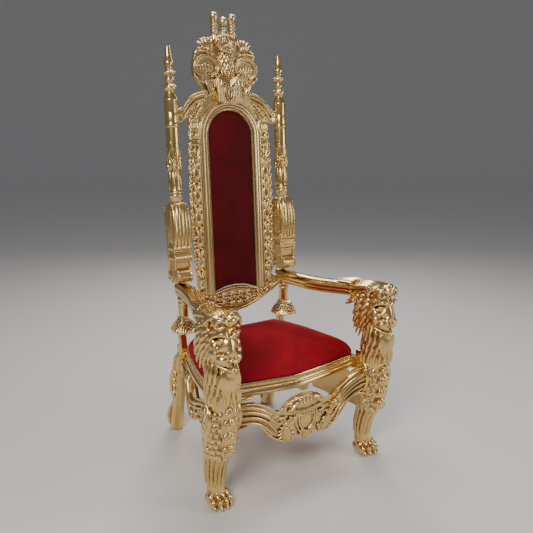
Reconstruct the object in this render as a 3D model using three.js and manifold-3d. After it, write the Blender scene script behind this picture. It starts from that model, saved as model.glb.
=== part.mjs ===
// Carved and gilded throne: lion arm posts, tall arched velvet back, crowned seat.
// Millimetres, +Z up, the sitter looks along -Y, the floor is z = 0, and the origin
// is on the floor under the middle of the whole object.
import * as THREE from 'three';
import { mergeVertices } from 'three/addons/utils/BufferGeometryUtils.js';
import Module from 'manifold-3d';

const wasm = await Module();
wasm.setup();

// ---- driving dimensions -------------------------------------------------------
const GAP = 0.3;              // clearance left between two pieces that touch
const SET_BACK = -88;         // moves the drawing's y = 0 line to the middle of the footprint

// back
const RECLINE = Math.atan(0.0638);      // lean of the whole back
const BACK_PIVOT_Y = 329.3;             // y of the columns' axis at the pivot height
const BACK_PIVOT_Z = 1000;
const COLUMN_X = 257;                   // columns' axis from the centre line
const COLUMN_FOOT = 1048;
const COLUMN_SIDES = 10;
const FRAME_INNER = 107;                // half width of the velvet in the back
const FRAME_OUTER = 144;                // half width over the arched moulding
const ARCH_CENTRE = 1315;               // height of the arch's centre
const FRAME_FOOT = 650;
const FRAME_FRONT = -17;
const FRAME_REAR = 18;
const STRIP_TOP = 1385;
const RAIL_TOP = 1497;                  // top of the yoke rail under the crest
const CREST_FRONT = -2;
const CREST_TOP = 1810;

// arms
const ARM_BOTTOM = 660;
const ARM_TOP = 715;
const ARM_INNER = 222;                  // inner face of the arm where the back rail meets it
const ARM_REAR = 338;
const ARM_FRONT = -100;

// seat
const RAIL_BOTTOM = 375;
const RAIL_HEIGHT = 49;
const RAIL_THICK = 45;
const SEAT_FRONT = 182;                 // bow of the front rail at the centre line
const SEAT_REAR = 352;
const CUSHION_RISE = 100;
const CUSHION_REAR = 314;

// front legs
const LEG_BACK = -135;                  // flat face that the side rail and side apron meet
const LEG_CHEEK = 296;                  // flat face that the front apron meets
const KNEE_LOW = 205;

// ---- finishes -----------------------------------------------------------------
const gilt = new THREE.MeshStandardMaterial({ color: 0xc29a4c, roughness: 0.34, metalness: 0.9 });
const velvet = new THREE.MeshStandardMaterial({ color: 0x6e0a14, roughness: 0.9, metalness: 0 });
const board = new THREE.MeshStandardMaterial({ color: 0x9c7a3a, roughness: 0.55, metalness: 0.6 });

// ---- shaping tools ------------------------------------------------------------
// A closed three.js geometry becomes a solid; triangles that collapse to a line are dropped.
function solidOf(geometry) {
  const bare = geometry.clone();
  bare.deleteAttribute('normal');
  bare.deleteAttribute('uv');
  const merged = mergeVertices(bare, 1e-3);
  const index = merged.index.array;
  const kept = [];
  for (let i = 0; i < index.length; i += 3) {
    const [a, b, c] = [index[i], index[i + 1], index[i + 2]];
    if (a !== b && b !== c && c !== a) kept.push(a, b, c);
  }
  return new wasm.Manifold(new wasm.Mesh({
    numProp: 3,
    vertProperties: Float32Array.from(merged.attributes.position.array),
    triVerts: Uint32Array.from(kept),
  }));
}

// A skin over rings of equal length, capped at both ends and turned outwards.
function loft(rings) {
  const count = rings[0].length;
  const points = rings.flat();
  const faces = [];
  for (let k = 0; k + 1 < rings.length; k += 1) {
    for (let i = 0; i < count; i += 1) {
      const a = k * count + i;
      const b = k * count + (i + 1) % count;
      faces.push([a, b, b + count], [a, b + count, a + count]);
    }
  }
  for (const k of [0, rings.length - 1]) {
    const ring = rings[k];
    const middle = [0, 1, 2].map((axis) => ring.reduce((sum, p) => sum + p[axis], 0) / count);
    points.push(middle);
    for (let i = 0; i < count; i += 1) {
      const rim = [k * count + i, k * count + (i + 1) % count];
      if (k === 0) rim.reverse();
      faces.push([points.length - 1, ...rim]);
    }
  }
  const corner = faces.map((face) => face.map((i) => new THREE.Vector3(...points[i])));
  const volume = corner.reduce((sum, [p, q, r]) => sum + p.dot(q.clone().cross(r)), 0);
  const index = faces.flatMap((face) => (volume < 0 ? [face[0], face[2], face[1]] : face));
  const geometry = new THREE.BufferGeometry();
  geometry.setAttribute('position', new THREE.Float32BufferAttribute(points.flat(), 3));
  geometry.setIndex(index);
  return solidOf(geometry);
}

// A rounded oblong ring in a level plane; power 2 is an ellipse, higher is squarer.
function oval([x, y, z], [across, deep], sides, power = 2, ripple = () => 1) {
  const ring = [];
  for (let i = 0; i < sides; i += 1) {
    const turn = (i + 0.5) / sides * 2 * Math.PI;
    const [c, s] = [Math.cos(turn), Math.sin(turn)];
    const reach = ripple(i, z) / (Math.abs(c) ** power + Math.abs(s) ** power) ** (1 / power);
    ring.push([x + across * c * reach, y + deep * s * reach, z]);
  }
  return ring;
}

// An egg-shaped swelling: a bud, a curl, a cheek, the tip of a leaf.
function swell(centre, radii, turn = [0, 0, 0], sides = 7, rows = 5) {
  const egg = new THREE.SphereGeometry(1, sides, rows);
  egg.scale(...radii);
  egg.rotateX(turn[0]);
  egg.rotateY(turn[1]);
  egg.rotateZ(turn[2]);
  egg.translate(...centre);
  return solidOf(egg);
}

function block(low, high) {
  const box = new THREE.BoxGeometry(...high.map((h, i) => h - low[i]));
  box.translate(...high.map((h, i) => (h + low[i]) / 2));
  return solidOf(box);
}

// A flat carving: an outline drawn in x and z, as thick as front to rear.
function panel(shape, front, rear, segments = 5) {
  const plate = new THREE.ExtrudeGeometry(shape, {
    depth: rear - front, bevelEnabled: false, curveSegments: segments,
  });
  plate.rotateX(Math.PI / 2);
  plate.translate(0, rear, 0);
  return solidOf(plate);
}

// A carved band that follows a line of points and keeps one thickness.
function band(points, radius, sides = 5, steps = 8) {
  const path = new THREE.CatmullRomCurve3(points.map((p) => new THREE.Vector3(...p)));
  const section = new THREE.Shape();
  for (let i = 0; i < sides; i += 1) {
    const turn = i / sides * 2 * Math.PI;
    const at = [radius * Math.cos(turn), radius * Math.sin(turn)];
    if (i === 0) section.moveTo(...at);
    else section.lineTo(...at);
  }
  return solidOf(new THREE.ExtrudeGeometry(section, { extrudePath: path, steps }));
}

// Outlines run anticlockwise, so that holes cut through them the right way.
function outline(points) {
  const corners = points.map((p) => new THREE.Vector2(...p));
  if (THREE.ShapeUtils.isClockWise(corners)) corners.reverse();
  return new THREE.Shape(corners);
}

// The right half of a symmetrical outline, listed from the centre line round to it again.
function symmetric(half) {
  const last = half.length - 1;
  const level = (p, next) => p[0] === 0 && next[1] === p[1];
  const kept = half.filter((p, i) => (i > 0 && i < last) || !level(p, half[i === 0 ? 1 : last - 1]));
  const other = kept.filter(([x]) => x > 0).map(([x, z]) => [-x, z]).reverse();
  return outline([...kept, ...other]);
}

function oblongHole(x, z, across, high, sides = 6) {
  const hole = new THREE.Path();
  for (let i = 0; i < sides; i += 1) {
    const turn = -i / sides * 2 * Math.PI;
    const at = [x + across * Math.cos(turn), z + high * Math.sin(turn)];
    if (i === 0) hole.moveTo(...at);
    else hole.lineTo(...at);
  }
  hole.closePath();
  return hole;
}

const join = (solids) => solids.reduce((whole, piece) => whole.add(piece));

function arc(cx, cz, radius, from, to, steps) {
  return Array.from({ length: steps + 1 }, (_, i) => {
    const turn = THREE.MathUtils.degToRad(from + (to - from) * i / steps);
    return [cx + radius * Math.cos(turn), cz + radius * Math.sin(turn)];
  });
}

// ---- assembly -----------------------------------------------------------------
const throne = new THREE.Group();
const seatGroup = new THREE.Group();
seatGroup.position.y = SET_BACK;
throne.add(seatGroup);

const leaning = new THREE.Group();
leaning.position.set(0, BACK_PIVOT_Y, BACK_PIVOT_Z);
leaning.rotation.x = -RECLINE;
seatGroup.add(leaning);
const backGroup = new THREE.Group();
backGroup.position.z = -BACK_PIVOT_Z;
leaning.add(backGroup);

function addPiece(group, name, solid, material, mirrored = false) {
  const { vertProperties, triVerts } = solid.getMesh();
  const positions = Float32Array.from(vertProperties);
  const index = Uint32Array.from(triVerts);
  if (mirrored) {
    for (let i = 0; i < positions.length; i += 3) positions[i] *= -1;
    for (let i = 0; i < index.length; i += 3) [index[i + 1], index[i + 2]] = [index[i + 2], index[i + 1]];
  }
  const geometry = new THREE.BufferGeometry();
  geometry.setAttribute('position', new THREE.BufferAttribute(positions, 3));
  geometry.setIndex(new THREE.BufferAttribute(index, 1));
  geometry.computeVertexNormals();
  const mesh = new THREE.Mesh(geometry, material);
  mesh.name = name;
  group.add(mesh);
}

// Left and right are as the throne is looked at from the front: right is +X.
function addPair(group, name, solid, material) {
  addPiece(group, `${name}_right`, solid, material);
  addPiece(group, `${name}_left`, solid, material, true);
}

// ---- front legs: paw, fluted shin, carved knee, chest and lion head in one carving
// A ball pushed out and in round itself: each feature is a bearing from straight ahead,
// a height angle, how far it stands out and how wide it is, in degrees and millimetres.
function modelled(centre, radii, sides, rows, features) {
  const ball = new THREE.SphereGeometry(1, sides, rows);
  ball.rotateX(Math.PI / 2);
  const place = ball.attributes.position;
  const bearing = ([around, up]) => {
    const [a, e] = [around, up].map(THREE.MathUtils.degToRad);
    return new THREE.Vector3(Math.sin(a) * Math.cos(e), -Math.cos(a) * Math.cos(e), Math.sin(e));
  };
  for (let i = 0; i < place.count; i += 1) {
    const way = new THREE.Vector3().fromBufferAttribute(place, i).normalize();
    const out = features.reduce((sum, [around, up, height, width]) => {
      const off = THREE.MathUtils.radToDeg(way.angleTo(bearing([around, up]))) / width;
      return sum + height * Math.exp(-off * off);
    }, 0);
    place.setXYZ(i, ...way.toArray().map((v, k) => centre[k] + v * (radii[k] + out)));
  }
  return solidOf(ball);
}

function bothSides(features) {
  const aside = features.filter(([around]) => around);
  return [...features, ...aside.map(([around, ...rest]) => [-around, ...rest])];
}

function lionHead() {
  const face = bothSides([
    [0, -14, 40, 24], [0, 8, 18, 14], [0, -44, 26, 17], [24, 10, -13, 12], [22, 29, 12, 11],
    [24, 52, 16, 15], [52, -8, 7, 18], [84, 14, 9, 26], [92, -32, 8, 24],
    [26, -62, 14, 16], [0, -78, 18, 20],
  ]);
  const head = modelled([350, -205, 642], [66, 74, 92], 14, 11, face);
  const nape = swell([350, -146, 692], [45, 74, 44], [0, 0, 0], 7, 4);
  const mouth = block([310, -400, 585], [390, -262, 594]);
  return head.add(nape).subtract(mouth);
}

function frontLeg() {
  // height, centre x, centre y, half width, half depth
  const stations = [
    [0, 352, -172, 40, 36], [40, 351, -168, 38, 36], [70, 350, -152, 34, 31], [84, 350, -152, 36, 32],
    [150, 352, -160, 40, 38], [208, 354, -182, 44, 44], [222, 354, -192, 48, 52],
    [290, 354, -212, 56, 58], [350, 352, -218, 58, 60], [410, 350, -222, 54, 60],
    [480, 348, -227, 49, 60], [570, 349, -215, 50, 60],
  ];
  const flutes = (i, z) => (z > 74 && z < 210 && i % 2 ? 0.88 : 1);
  const shank = loft(stations.map(([z, x, y, w, d]) => oval([x, y, z], [w, d], 12, 2.3, flutes)));
  const parts = [shank];
  for (const toe of [-1.5, -0.5, 0.5, 1.5]) {
    const reach = Math.abs(toe) > 1 ? -192 : -202;
    parts.push(swell([352 + toe * 22, reach, 24], [12.5, 26, 24], [0.25, 0, 0], 5, 3));
  }
  for (const height of [262, 312, 362]) {
    parts.push(swell([353, -268 - (height - 262) * 0.06, height], [24, 13, 23], [0, 0, 0], 6, 3));
  }
  for (const side of [-1, 1]) {
    parts.push(swell([352 + side * 52, -226, 325], [13, 26, 62], [0, side * 0.1, 0], 5, 3));
  }
  parts.push(swell([344, -276, 448], [32, 20, 32], [0, 0, 0], 6, 4));
  parts.push(block([316, -190, KNEE_LOW], [372, LEG_BACK - GAP, 440]));
  parts.push(block([LEG_CHEEK + GAP, -236, 290], [330, -192, 396]));
  const whole = join([...parts, lionHead()]);
  const trims = [
    block([200, -400, -60], [460, 0, 0]),
    block([200, LEG_BACK - GAP, -1], [460, 0, 585]),
    block([200, ARM_FRONT - GAP, 500], [460, 60, 900]),
    block([200, -400, 0], [LEG_CHEEK + GAP, -60, 470]),
  ];
  const cornerLeaf = swell([262, -208, 405], [44, 14, 10], [0, 0, 0], 6, 4);
  return trims.reduce((rest, cut) => rest.subtract(cut), whole).add(cornerLeaf);
}

// ---- arms: moulded and fluted, swinging out to the lions' napes
function arm() {
  // y, centre x, half width, height above the rear end
  const stations = [
    [ARM_REAR, 250, 29, 0], [290, 251, 29, 0], [220, 259, 32, 0], [130, 277, 35, 0], [60, 297, 37, 2],
    [-10, 321, 39, 6], [-60, 338, 42, 10], [ARM_FRONT, 348, 45, 13],
  ];
  const section = [
    [-0.62, 0], [-0.86, 0.16], [-0.8, 0.4], [-1, 0.56], [-0.96, 0.86], [-0.5, 1],
    [0.5, 1], [0.96, 0.86], [1, 0.56], [0.8, 0.4], [0.86, 0.16], [0.62, 0],
  ];
  const rings = stations.map(([y, x, half, lift]) => section.map(([u, v]) => [
    x + u * half, y, ARM_BOTTOM + lift + v * (ARM_TOP - ARM_BOTTOM),
  ]));
  return loft(rings).subtract(block([150, 270, 600], [ARM_INNER, 400, 800]));
}

// ---- rear legs: turned and flared upper post, square neck, raked carved leg
function rearLeg(grow = 0) {
  // height, centre x, centre y, half width, half depth
  const stations = [
    [ARM_BOTTOM - GAP, 252, 305, 26, 26], [643, 252, 305, 27, 27],
    [639, 252, 306, 22, 22], [576, 252, 308, 22, 22], [567, 252, 306, 26, 26],
    [542, 252, 302, 36, 36], [516, 251, 300, 48, 47], [509, 251, 302, 44, 43],
    [507, 250, 324, 15, 16], [400, 249, 350, 16, 17],
    [362, 250, 363, 26, 28], [300, 249, 375, 28, 32], [150, 247, 402, 27, 32],
    [60, 246, 426, 27, 33], [20, 245, 438, 29, 38], [0, 245, 440, 29, 38],
  ];
  const fan = (i, z) => (z > 506 && z < 568 && i % 2 ? 0.88 : 1);
  const rings = stations.map(([z, x, y, w, d]) => oval([x, y, z], [w + grow, d + grow], 10, 2.8, fan));
  const parts = [loft(rings)];
  parts.push(swell([250, 345, 352], [27 + grow, 18 + grow, 40 + grow], [-0.2, 0, 0], 6, 3));
  parts.push(swell([266, 398, 210], [16 + grow, 30 + grow, 70 + grow], [-0.2, 0, 0], 5, 3));
  parts.push(swell([258, 448, 60], [20 + grow, 34 + grow, 56 + grow], [-0.2, 0, 0], 6, 4));
  return join(parts).subtract(block([150, 300, -90], [350, 560, 0]));
}

// ---- seat rails: moulded, bowed in front, dying into the legs
const sideLine = (y) => 345 - 88 * (Math.max(0, y + 126) / 426) ** 1.6;
const frontLine = (x) => -SEAT_FRONT + 52 * (Math.abs(x) / 300) ** 1.3;
const RAIL_PROFILE = [
  [RAIL_THICK, 0], [4, 0], [0, 5], [0, 17], [6, 22], [12, 27], [14, RAIL_HEIGHT], [RAIL_THICK, RAIL_HEIGHT],
];

function sideRail(grow = 0) {
  const steps = [LEG_BACK, -90, -10, 70, 140, 210, 280, SEAT_REAR];
  const rings = steps.map((y) => RAIL_PROFILE.map(([inset, up]) => [
    sideLine(y) - inset - (inset === RAIL_THICK ? grow : 0), y, RAIL_BOTTOM + up,
  ]));
  return loft(rings);
}

function frontRail() {
  const steps = Array.from({ length: 11 }, (_, i) => -325 + 65 * i);
  const rings = steps.map((x) => RAIL_PROFILE.map(([inset, up]) => [
    x, frontLine(x) + inset, RAIL_BOTTOM + up,
  ]));
  const corners = block([-400, -400, 0], [-LEG_CHEEK, LEG_BACK, 600])
    .add(block([LEG_CHEEK, -400, 0], [400, LEG_BACK, 600]));
  const side = sideRail(GAP);
  const tips = block([310, -400, 0], [400, 400, 600]).add(block([-400, -400, 0], [-310, 400, 600]));
  return loft(rings).subtract(corners).subtract(tips).subtract(side).subtract(mirror(side));
}

function mirror(solid) {
  const { vertProperties, triVerts } = solid.getMesh();
  const flipped = Float32Array.from(vertProperties, (value, i) => (i % 3 ? value : -value));
  const index = Uint32Array.from(triVerts);
  for (let i = 0; i < index.length; i += 3) [index[i + 1], index[i + 2]] = [index[i + 2], index[i + 1]];
  return new wasm.Manifold(new wasm.Mesh({ numProp: 3, vertProperties: flipped, triVerts: index }));
}

// ---- seat cushion: one crowned cushion on the rails
function cushionOutline() {
  const right = [];
  for (const y of [CUSHION_REAR, 250, 170, 90, 10, -60, -104]) right.push([sideLine(y) - 14, y]);
  for (const x of [300, 230, 150, 70]) right.push([x, frontLine(x) + 14]);
  const rear = [[0, CUSHION_REAR], [120, CUSHION_REAR]];
  const half = [...rear, ...right, [0, frontLine(0) + 14]];
  const left = half.slice(1, -1).map(([x, y]) => [-x, y]).reverse();
  return [...half, ...left];
}

function seatCushion() {
  const rim = cushionOutline();
  const middle = 90;
  const base = RAIL_BOTTOM + RAIL_HEIGHT + GAP;
  const rings = [1, 1, 0.97, 0.88, 0.7, 0.4].map((scale, k) => {
    const height = k === 0 ? base : base + 8 + (CUSHION_RISE - 8) * (1 - scale ** 3.4) ** 0.6;
    return rim.map(([x, y]) => [x * scale, middle + (y - middle) * scale, height]);
  });
  return loft(rings);
}

// ---- front apron: a swag between the knees with a crown and shield in the middle
function frontApron() {
  const half = [
    [0, 366], [40, 361], [68, 351], [88, 335], [104, 320], [126, 326], [153, 348], [187, 366],
    [216, 381], [250, 387], [LEG_CHEEK, 392], [LEG_CHEEK, 292], [254, 298], [232, 300], [208, 289],
    [187, 266], [161, 232], [130, 210], [95, 191], [66, 197], [40, 206], [20, 187], [0, 184],
  ];
  const shape = symmetric(half);
  const body = panel(shape, -228, -200, 3);
  const parts = [body];
  parts.push(swell([0, -226, 338], [62, 16, 26], [0, 0, 0], 8, 4));
  parts.push(swell([0, -226, 268], [44, 18, 50], [0, 0, 0], 7, 4));
  parts.push(swell([0, -224, 206], [30, 18, 20], [0, 0, 0], 6, 4));
  for (const side of [-1, 1]) {
    const scroll = [[288, 372], [240, 366], [190, 346], [150, 318], [120, 296], [84, 300]];
    parts.push(band(scroll.map(([x, z]) => [side * x, -228, z]), 13, 4, 6));
    const under = [[286, 318], [235, 326], [200, 306], [168, 258], [130, 226]];
    parts.push(band(under.map(([x, z]) => [side * x, -228, z]), 9, 4, 5));
    parts.push(swell([side * 98, -226, 225], [30, 16, 32], [0, side * 0.5, 0], 6, 4));
  }
  const ends = block([-400, -400, 0], [-LEG_CHEEK, 0, 500]).add(block([LEG_CHEEK, -400, 0], [400, 0, 500]));
  return join(parts).subtract(ends);
}

// ---- side aprons: an S scroll between the front and rear legs
const SIDE_RUN = 471;
const SIDE_TURN = Math.PI / 2 + Math.atan2(76, 465);
function sideApron() {
  // distance behind the front leg, height
  const shape = outline([
    [-20, 350], [70, 345], [115, 331], [200, 304], [262, 286], [278, 318], [292, RAIL_BOTTOM - GAP],
    [SIDE_RUN + 20, RAIL_BOTTOM - GAP], [SIDE_RUN + 20, 340], [418, 338], [404, 318], [392, 283],
    [380, 220], [366, 189], [350, 168], [310, 163], [284, 176], [276, 204], [300, 226], [292, 246],
    [262, 250], [240, 206], [180, 208], [92, 204], [-20, KNEE_LOW],
  ]);
  const plate = new THREE.ExtrudeGeometry(shape, { depth: 24, bevelEnabled: false });
  plate.rotateX(Math.PI / 2);
  plate.rotateZ(SIDE_TURN);
  plate.translate(314, LEG_BACK, 0);
  const rib = new THREE.CatmullRomCurve3([
    [-10, 320], [70, 318], [150, 300], [232, 262], [300, 232], [352, 250], [372, 320], [430, 356],
  ].map(([s, z]) => new THREE.Vector3(s, -24, z)));
  const section = outline(arc(0, 0, 13, 45, 315, 3));
  const scroll = new THREE.ExtrudeGeometry(section, { extrudePath: rib, steps: 10 });
  scroll.rotateZ(SIDE_TURN);
  scroll.translate(314, LEG_BACK, 0);
  const ends = block([0, -400, 0], [500, LEG_BACK, 600]);
  return solidOf(plate).add(solidOf(scroll)).subtract(ends).subtract(rearLeg(GAP))
    .subtract(block([0, -400, RAIL_BOTTOM - GAP], [500, 600, 600]))
    .subtract(block([0, 359, 0], [500, 600, 600]));
}

// ---- back: turned columns with finials
function column() {
  const profile = [
    [0, COLUMN_FOOT + GAP], [24.5, COLUMN_FOOT + GAP], [24.5, 1077], [28, 1083], [24, 1092],
    [26, 1136], [23, 1172], [28, 1200], [23, 1230], [26, 1260], [25, 1346], [28.5, 1353], [28, 1361],
    [26, 1364], [26, 1455], [17.5, 1484], [27, 1499], [14, 1516], [19.5, 1530], [13.5, 1545],
    [26, 1556], [13.5, 1567], [19, 1592], [12.5, 1610], [9.5, 1652], [0, 1658],
  ];
  const lathe = new THREE.LatheGeometry(profile.map(([r, z]) => new THREE.Vector2(r, z)), COLUMN_SIDES);
  lathe.rotateX(Math.PI / 2);
  const place = lathe.attributes.position;
  for (let i = 0; i < place.count; i += 1) {
    const [x, y, z] = [place.getX(i), place.getY(i), place.getZ(i)];
    const leafy = z > 1110 && z < 1300;
    const spoke = Math.round((Math.atan2(y, x) / Math.PI + 2) * COLUMN_SIDES / 2 - 0.5);
    const reach = leafy && spoke % 2 ? 0.9 : 1;
    place.setXY(i, COLUMN_X + x * reach, y * reach);
  }
  return solidOf(lathe);
}

// ---- back: gadrooned consoles that carry the columns
function bracket() {
  const side = outline([
    [38, 985], [42, 1020], [30, 1043], [18, COLUMN_FOOT], [-30, COLUMN_FOOT], [-42, 1030], [-44, 880],
    [-36, 862], [-34, 824], [-28, 800], [-22, 776], [-30, 745], [-20, 722], [14, 713], [32, 735],
    [38, 760], [33, 830], [33, 940],
  ]);
  const cheek = new THREE.ExtrudeGeometry(side, { depth: 76, bevelEnabled: false });
  cheek.rotateX(Math.PI / 2);
  cheek.rotateZ(Math.PI / 2);
  cheek.translate(COLUMN_X - 38, 0, 0);
  const parts = [solidOf(cheek)];
  for (const lane of [-1, 0, 1]) {
    parts.push(swell([COLUMN_X + lane * 26, -36, 962], [14, 18, 82], [0, 0, 0], 6, 4));
  }
  for (const height of [862, 824]) {
    const beads = new THREE.CylinderGeometry(11, 11, 82, 6);
    beads.rotateZ(Math.PI / 2);
    beads.translate(COLUMN_X, -38, height);
    parts.push(solidOf(beads));
  }
  const volute = new THREE.CylinderGeometry(29, 29, 30, 12);
  volute.translate(COLUMN_X + 4, -30, 747);
  parts.push(solidOf(volute));
  for (const [y, z] of [[24, 1020], [22, 747]]) {
    const curl = new THREE.CylinderGeometry(19, 19, 86, 8);
    curl.rotateZ(Math.PI / 2);
    curl.translate(COLUMN_X, y, z);
    parts.push(solidOf(curl));
  }
  const flat = new THREE.BoxGeometry(200, 300, 100);
  flat.translate(COLUMN_X, BACK_PIVOT_Y, ARM_TOP + GAP - 50);
  flat.translate(0, -BACK_PIVOT_Y, -BACK_PIVOT_Z);
  flat.rotateX(RECLINE);
  flat.translate(0, 0, BACK_PIVOT_Z);
  const shoulders = [-1, 1].map((turn) => {
    const chamfer = new THREE.BoxGeometry(40, 200, 40);
    chamfer.rotateY(turn * 0.7);
    chamfer.translate(COLUMN_X + turn * 50, 0, COLUMN_FOOT + 10);
    return solidOf(chamfer);
  });
  return join(parts).subtract(solidOf(flat)).subtract(join(shoulders))
    .subtract(block([150, -100, COLUMN_FOOT], [350, 100, 1200]));
}

// ---- back: arched moulding round the velvet
function backFrame() {
  const profile = [
    [0, FRAME_REAR], [0, -7], [8, -12], [18, FRAME_FRONT], [30, -14], [37, -7], [37, FRAME_REAR],
  ];
  const route = [[0, FRAME_FOOT + GAP], [0, ARCH_CENTRE]];
  const rings = [];
  const stations = [
    ...route.map(([, z]) => ({ centre: [0, z], turn: 0 })),
    ...Array.from({ length: 11 }, (_, i) => ({ centre: [0, ARCH_CENTRE], turn: Math.PI * (i + 1) / 12 })),
    ...route.reverse().map(([, z]) => ({ centre: [0, z], turn: Math.PI })),
  ];
  for (const { centre, turn } of stations) {
    rings.push(profile.map(([out, y]) => {
      const radius = FRAME_INNER + out;
      return [centre[0] + radius * Math.cos(turn), y, centre[1] + radius * Math.sin(turn)];
    }));
  }
  return loft(rings);
}

function backCushion() {
  const half = FRAME_INNER - GAP;
  const rim = [
    [0, 676], [54, 670], [half, 651], [half, 830], [half, 990], [half, 1150],
    ...arc(0, ARCH_CENTRE, half, 0, 180, 12),
    [-half, 1150], [-half, 990], [-half, 830], [-half, 651], [-54, 670],
  ];
  const centre = 1040;
  const rings = [[1, 6], [1, -2], [0.92, -8], [0.6, -12], [0.25, -13]].map(([scale, y]) => {
    const tall = 1 - (1 - scale) * 0.55;
    return rim.map(([x, z]) => [x * scale, y, centre + (z - centre) * tall]);
  });
  return loft(rings);
}

function backBoard() {
  const half = FRAME_INNER - GAP;
  const foot = [[-half, 651], [-54, 670], [0, 676], [54, 670], [half, 651]];
  const shape = outline([...foot, ...arc(0, ARCH_CENTRE, half, 0, 180, 12)]);
  return panel(shape, 6 + GAP, FRAME_REAR - 2);
}

// ---- back: pierced and carved strips beside the moulding
function strip() {
  const low = FRAME_FOOT + GAP;
  const inner = FRAME_OUTER + GAP;
  const outer = (z) => 178 + 18 * Math.sin(Math.PI * Math.min(1, (z - low) / 760)) ** 0.8;
  const points = [[inner, low], [182, low]];
  for (let z = low + 34; z < STRIP_TOP - 20; z += 34) {
    points.push([outer(z) + (Math.round((z - low) / 34) % 2 ? 4 : -5), z]);
  }
  points.push([188, STRIP_TOP], [inner, STRIP_TOP]);
  const shape = outline(points);
  for (let z = 704; z < 1180; z += 92) shape.holes.push(oblongHole(inner + 22, z, 8, 24, 5));
  const parts = [panel(shape, -10, 12)];
  for (let z = 750; z < 1180; z += 92) parts.push(swell([inner + 24, -9, z], [20, 9, 17], [0, 0, 0], 5, 3));
  for (const z of [1240, 1320]) parts.push(swell([inner + 22, -9, z], [18, 9, 30], [0, 0, 0], 6, 3));
  for (const z of [1196, 1280]) parts.push(block([inner, -14, z - 6], [inner + 38, -6, z + 6]));
  return join(parts).subtract(block([0, -100, 600], [inner, 100, 1500]));
}

// ---- back: yoke rail that sweeps from column to column over the arch
function yokeRail() {
  const low = STRIP_TOP + GAP;
  const reach = COLUMN_X - 26 * Math.cos(Math.PI / COLUMN_SIDES) - GAP;
  const saddle = FRAME_OUTER + GAP;
  const startAngle = THREE.MathUtils.radToDeg(Math.asin((low - ARCH_CENTRE) / saddle));
  const half = [
    [0, RAIL_TOP], [100, RAIL_TOP], [128, 1493], [160, 1481], [182, 1462], [197, 1438], [212, 1425],
    [reach, 1421], [reach, 1365], [208, 1369], [192, low], ...arc(0, ARCH_CENTRE, saddle + 0.8, startAngle, 90, 7),
  ];
  half[half.length - 1] = [0, ARCH_CENTRE + saddle + 0.8];
  const shape = symmetric(half);
  for (const side of [-1, 1]) shape.holes.push(oblongHole(side * 156, 1414, 9, 17));
  const parts = [panel(shape, -8, FRAME_REAR)];
  for (const side of [-1, 1]) {
    const crestLine = [[222, 1408], [200, 1414], [180, 1440], [152, 1466], [118, 1478]];
    parts.push(band(crestLine.map(([x, z]) => [side * x, -8, z]), 10, 5, 6));
    parts.push(swell([side * 136, -9, 1412], [12, 8, 26], [0, side * -0.7, 0], 6, 4));
  }
  return join(parts);
}

// ---- back: crest with two lobes, a fluted centre panel, a crown and two horns
function turned(profile, sides, x, y) {
  const lathe = new THREE.LatheGeometry(profile.map(([r, z]) => new THREE.Vector2(r, z)), sides);
  lathe.rotateX(Math.PI / 2);
  lathe.translate(x, y, 0);
  return solidOf(lathe);
}

function crest() {
  const low = RAIL_TOP + GAP;
  const half = [
    [0, 1724], [46, 1724], [60, 1712], [76, 1705], [94, 1708], [108, 1702], [111, 1682], [109, 1667],
    [126, 1667], [141, 1652], [141, 1636], [151, 1610], [155, 1585], [149, 1552], [135, 1532],
    [120, 1514], [112, low], [0, low],
  ];
  const parts = [panel(symmetric(half), CREST_FRONT, 26)];
  const tongue = symmetric([[0, 1556], [59, 1556], [59, 1450], [38, 1443], [0, 1440]]);
  parts.push(panel(tongue, -25, 6));
  parts.push(panel(symmetric([[0, 1520], [20, 1520], [20, 1468], [0, 1456]]), -30, -23));
  parts.push(swell([0, -10, 1608], [38, 18, 58], [0, 0, 0], 6, 4));
  parts.push(swell([0, -4, 1690], [46, 20, 40], [0, 0, 0], 7, 4));
  parts.push(swell([0, -20, 1662], [25, 11, 9], [0, 0, 0], 6, 3));
  const horn = [
    [0, 1696], [14, 1696], [14.5, 1720], [11.5, 1730], [13.5, 1742], [11, 1752], [13, 1764], [10.5, 1774],
    [15, 1790], [11, 1805], [0, CREST_TOP],
  ];
  for (const side of [-1, 1]) {
    const rim = new THREE.CylinderGeometry(1, 1, 16, 10);
    rim.scale(56, 1, 44);
    const dish = rim.clone().scale(0.8, 1, 0.8).translate(side * 92, CREST_FRONT - 8, 1590);
    rim.translate(side * 92, CREST_FRONT, 1590);
    parts.push(solidOf(rim).subtract(solidOf(dish)));
    parts.push(swell([side * 92, CREST_FRONT, 1590], [38, 8, 28], [0, 0, 0], 6, 3));
    parts.push(swell([side * 90, CREST_FRONT, 1682], [20, 12, 22], [0, 0, 0], 5, 3));
    parts.push(swell([side * 84, -8, 1508], [18, 14, 30], [0, side * 0.2, 0], 5, 3));
    parts.push(turned(horn, 6, side * 42, 15));
  }
  const knob = [[0, 1710], [17, 1722], [16, 1738], [9, 1750], [15, 1762], [15, 1782], [0, 1797]];
  parts.push(turned(knob, 7, 0, 12));
  const overFrame = block([-200, FRAME_FRONT - GAP, 1400], [200, 100, 1461]);
  const overRail = block([-200, -8 - GAP, 1400], [200, 100, low]);
  return join(parts).subtract(overFrame).subtract(overRail);
}

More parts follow.
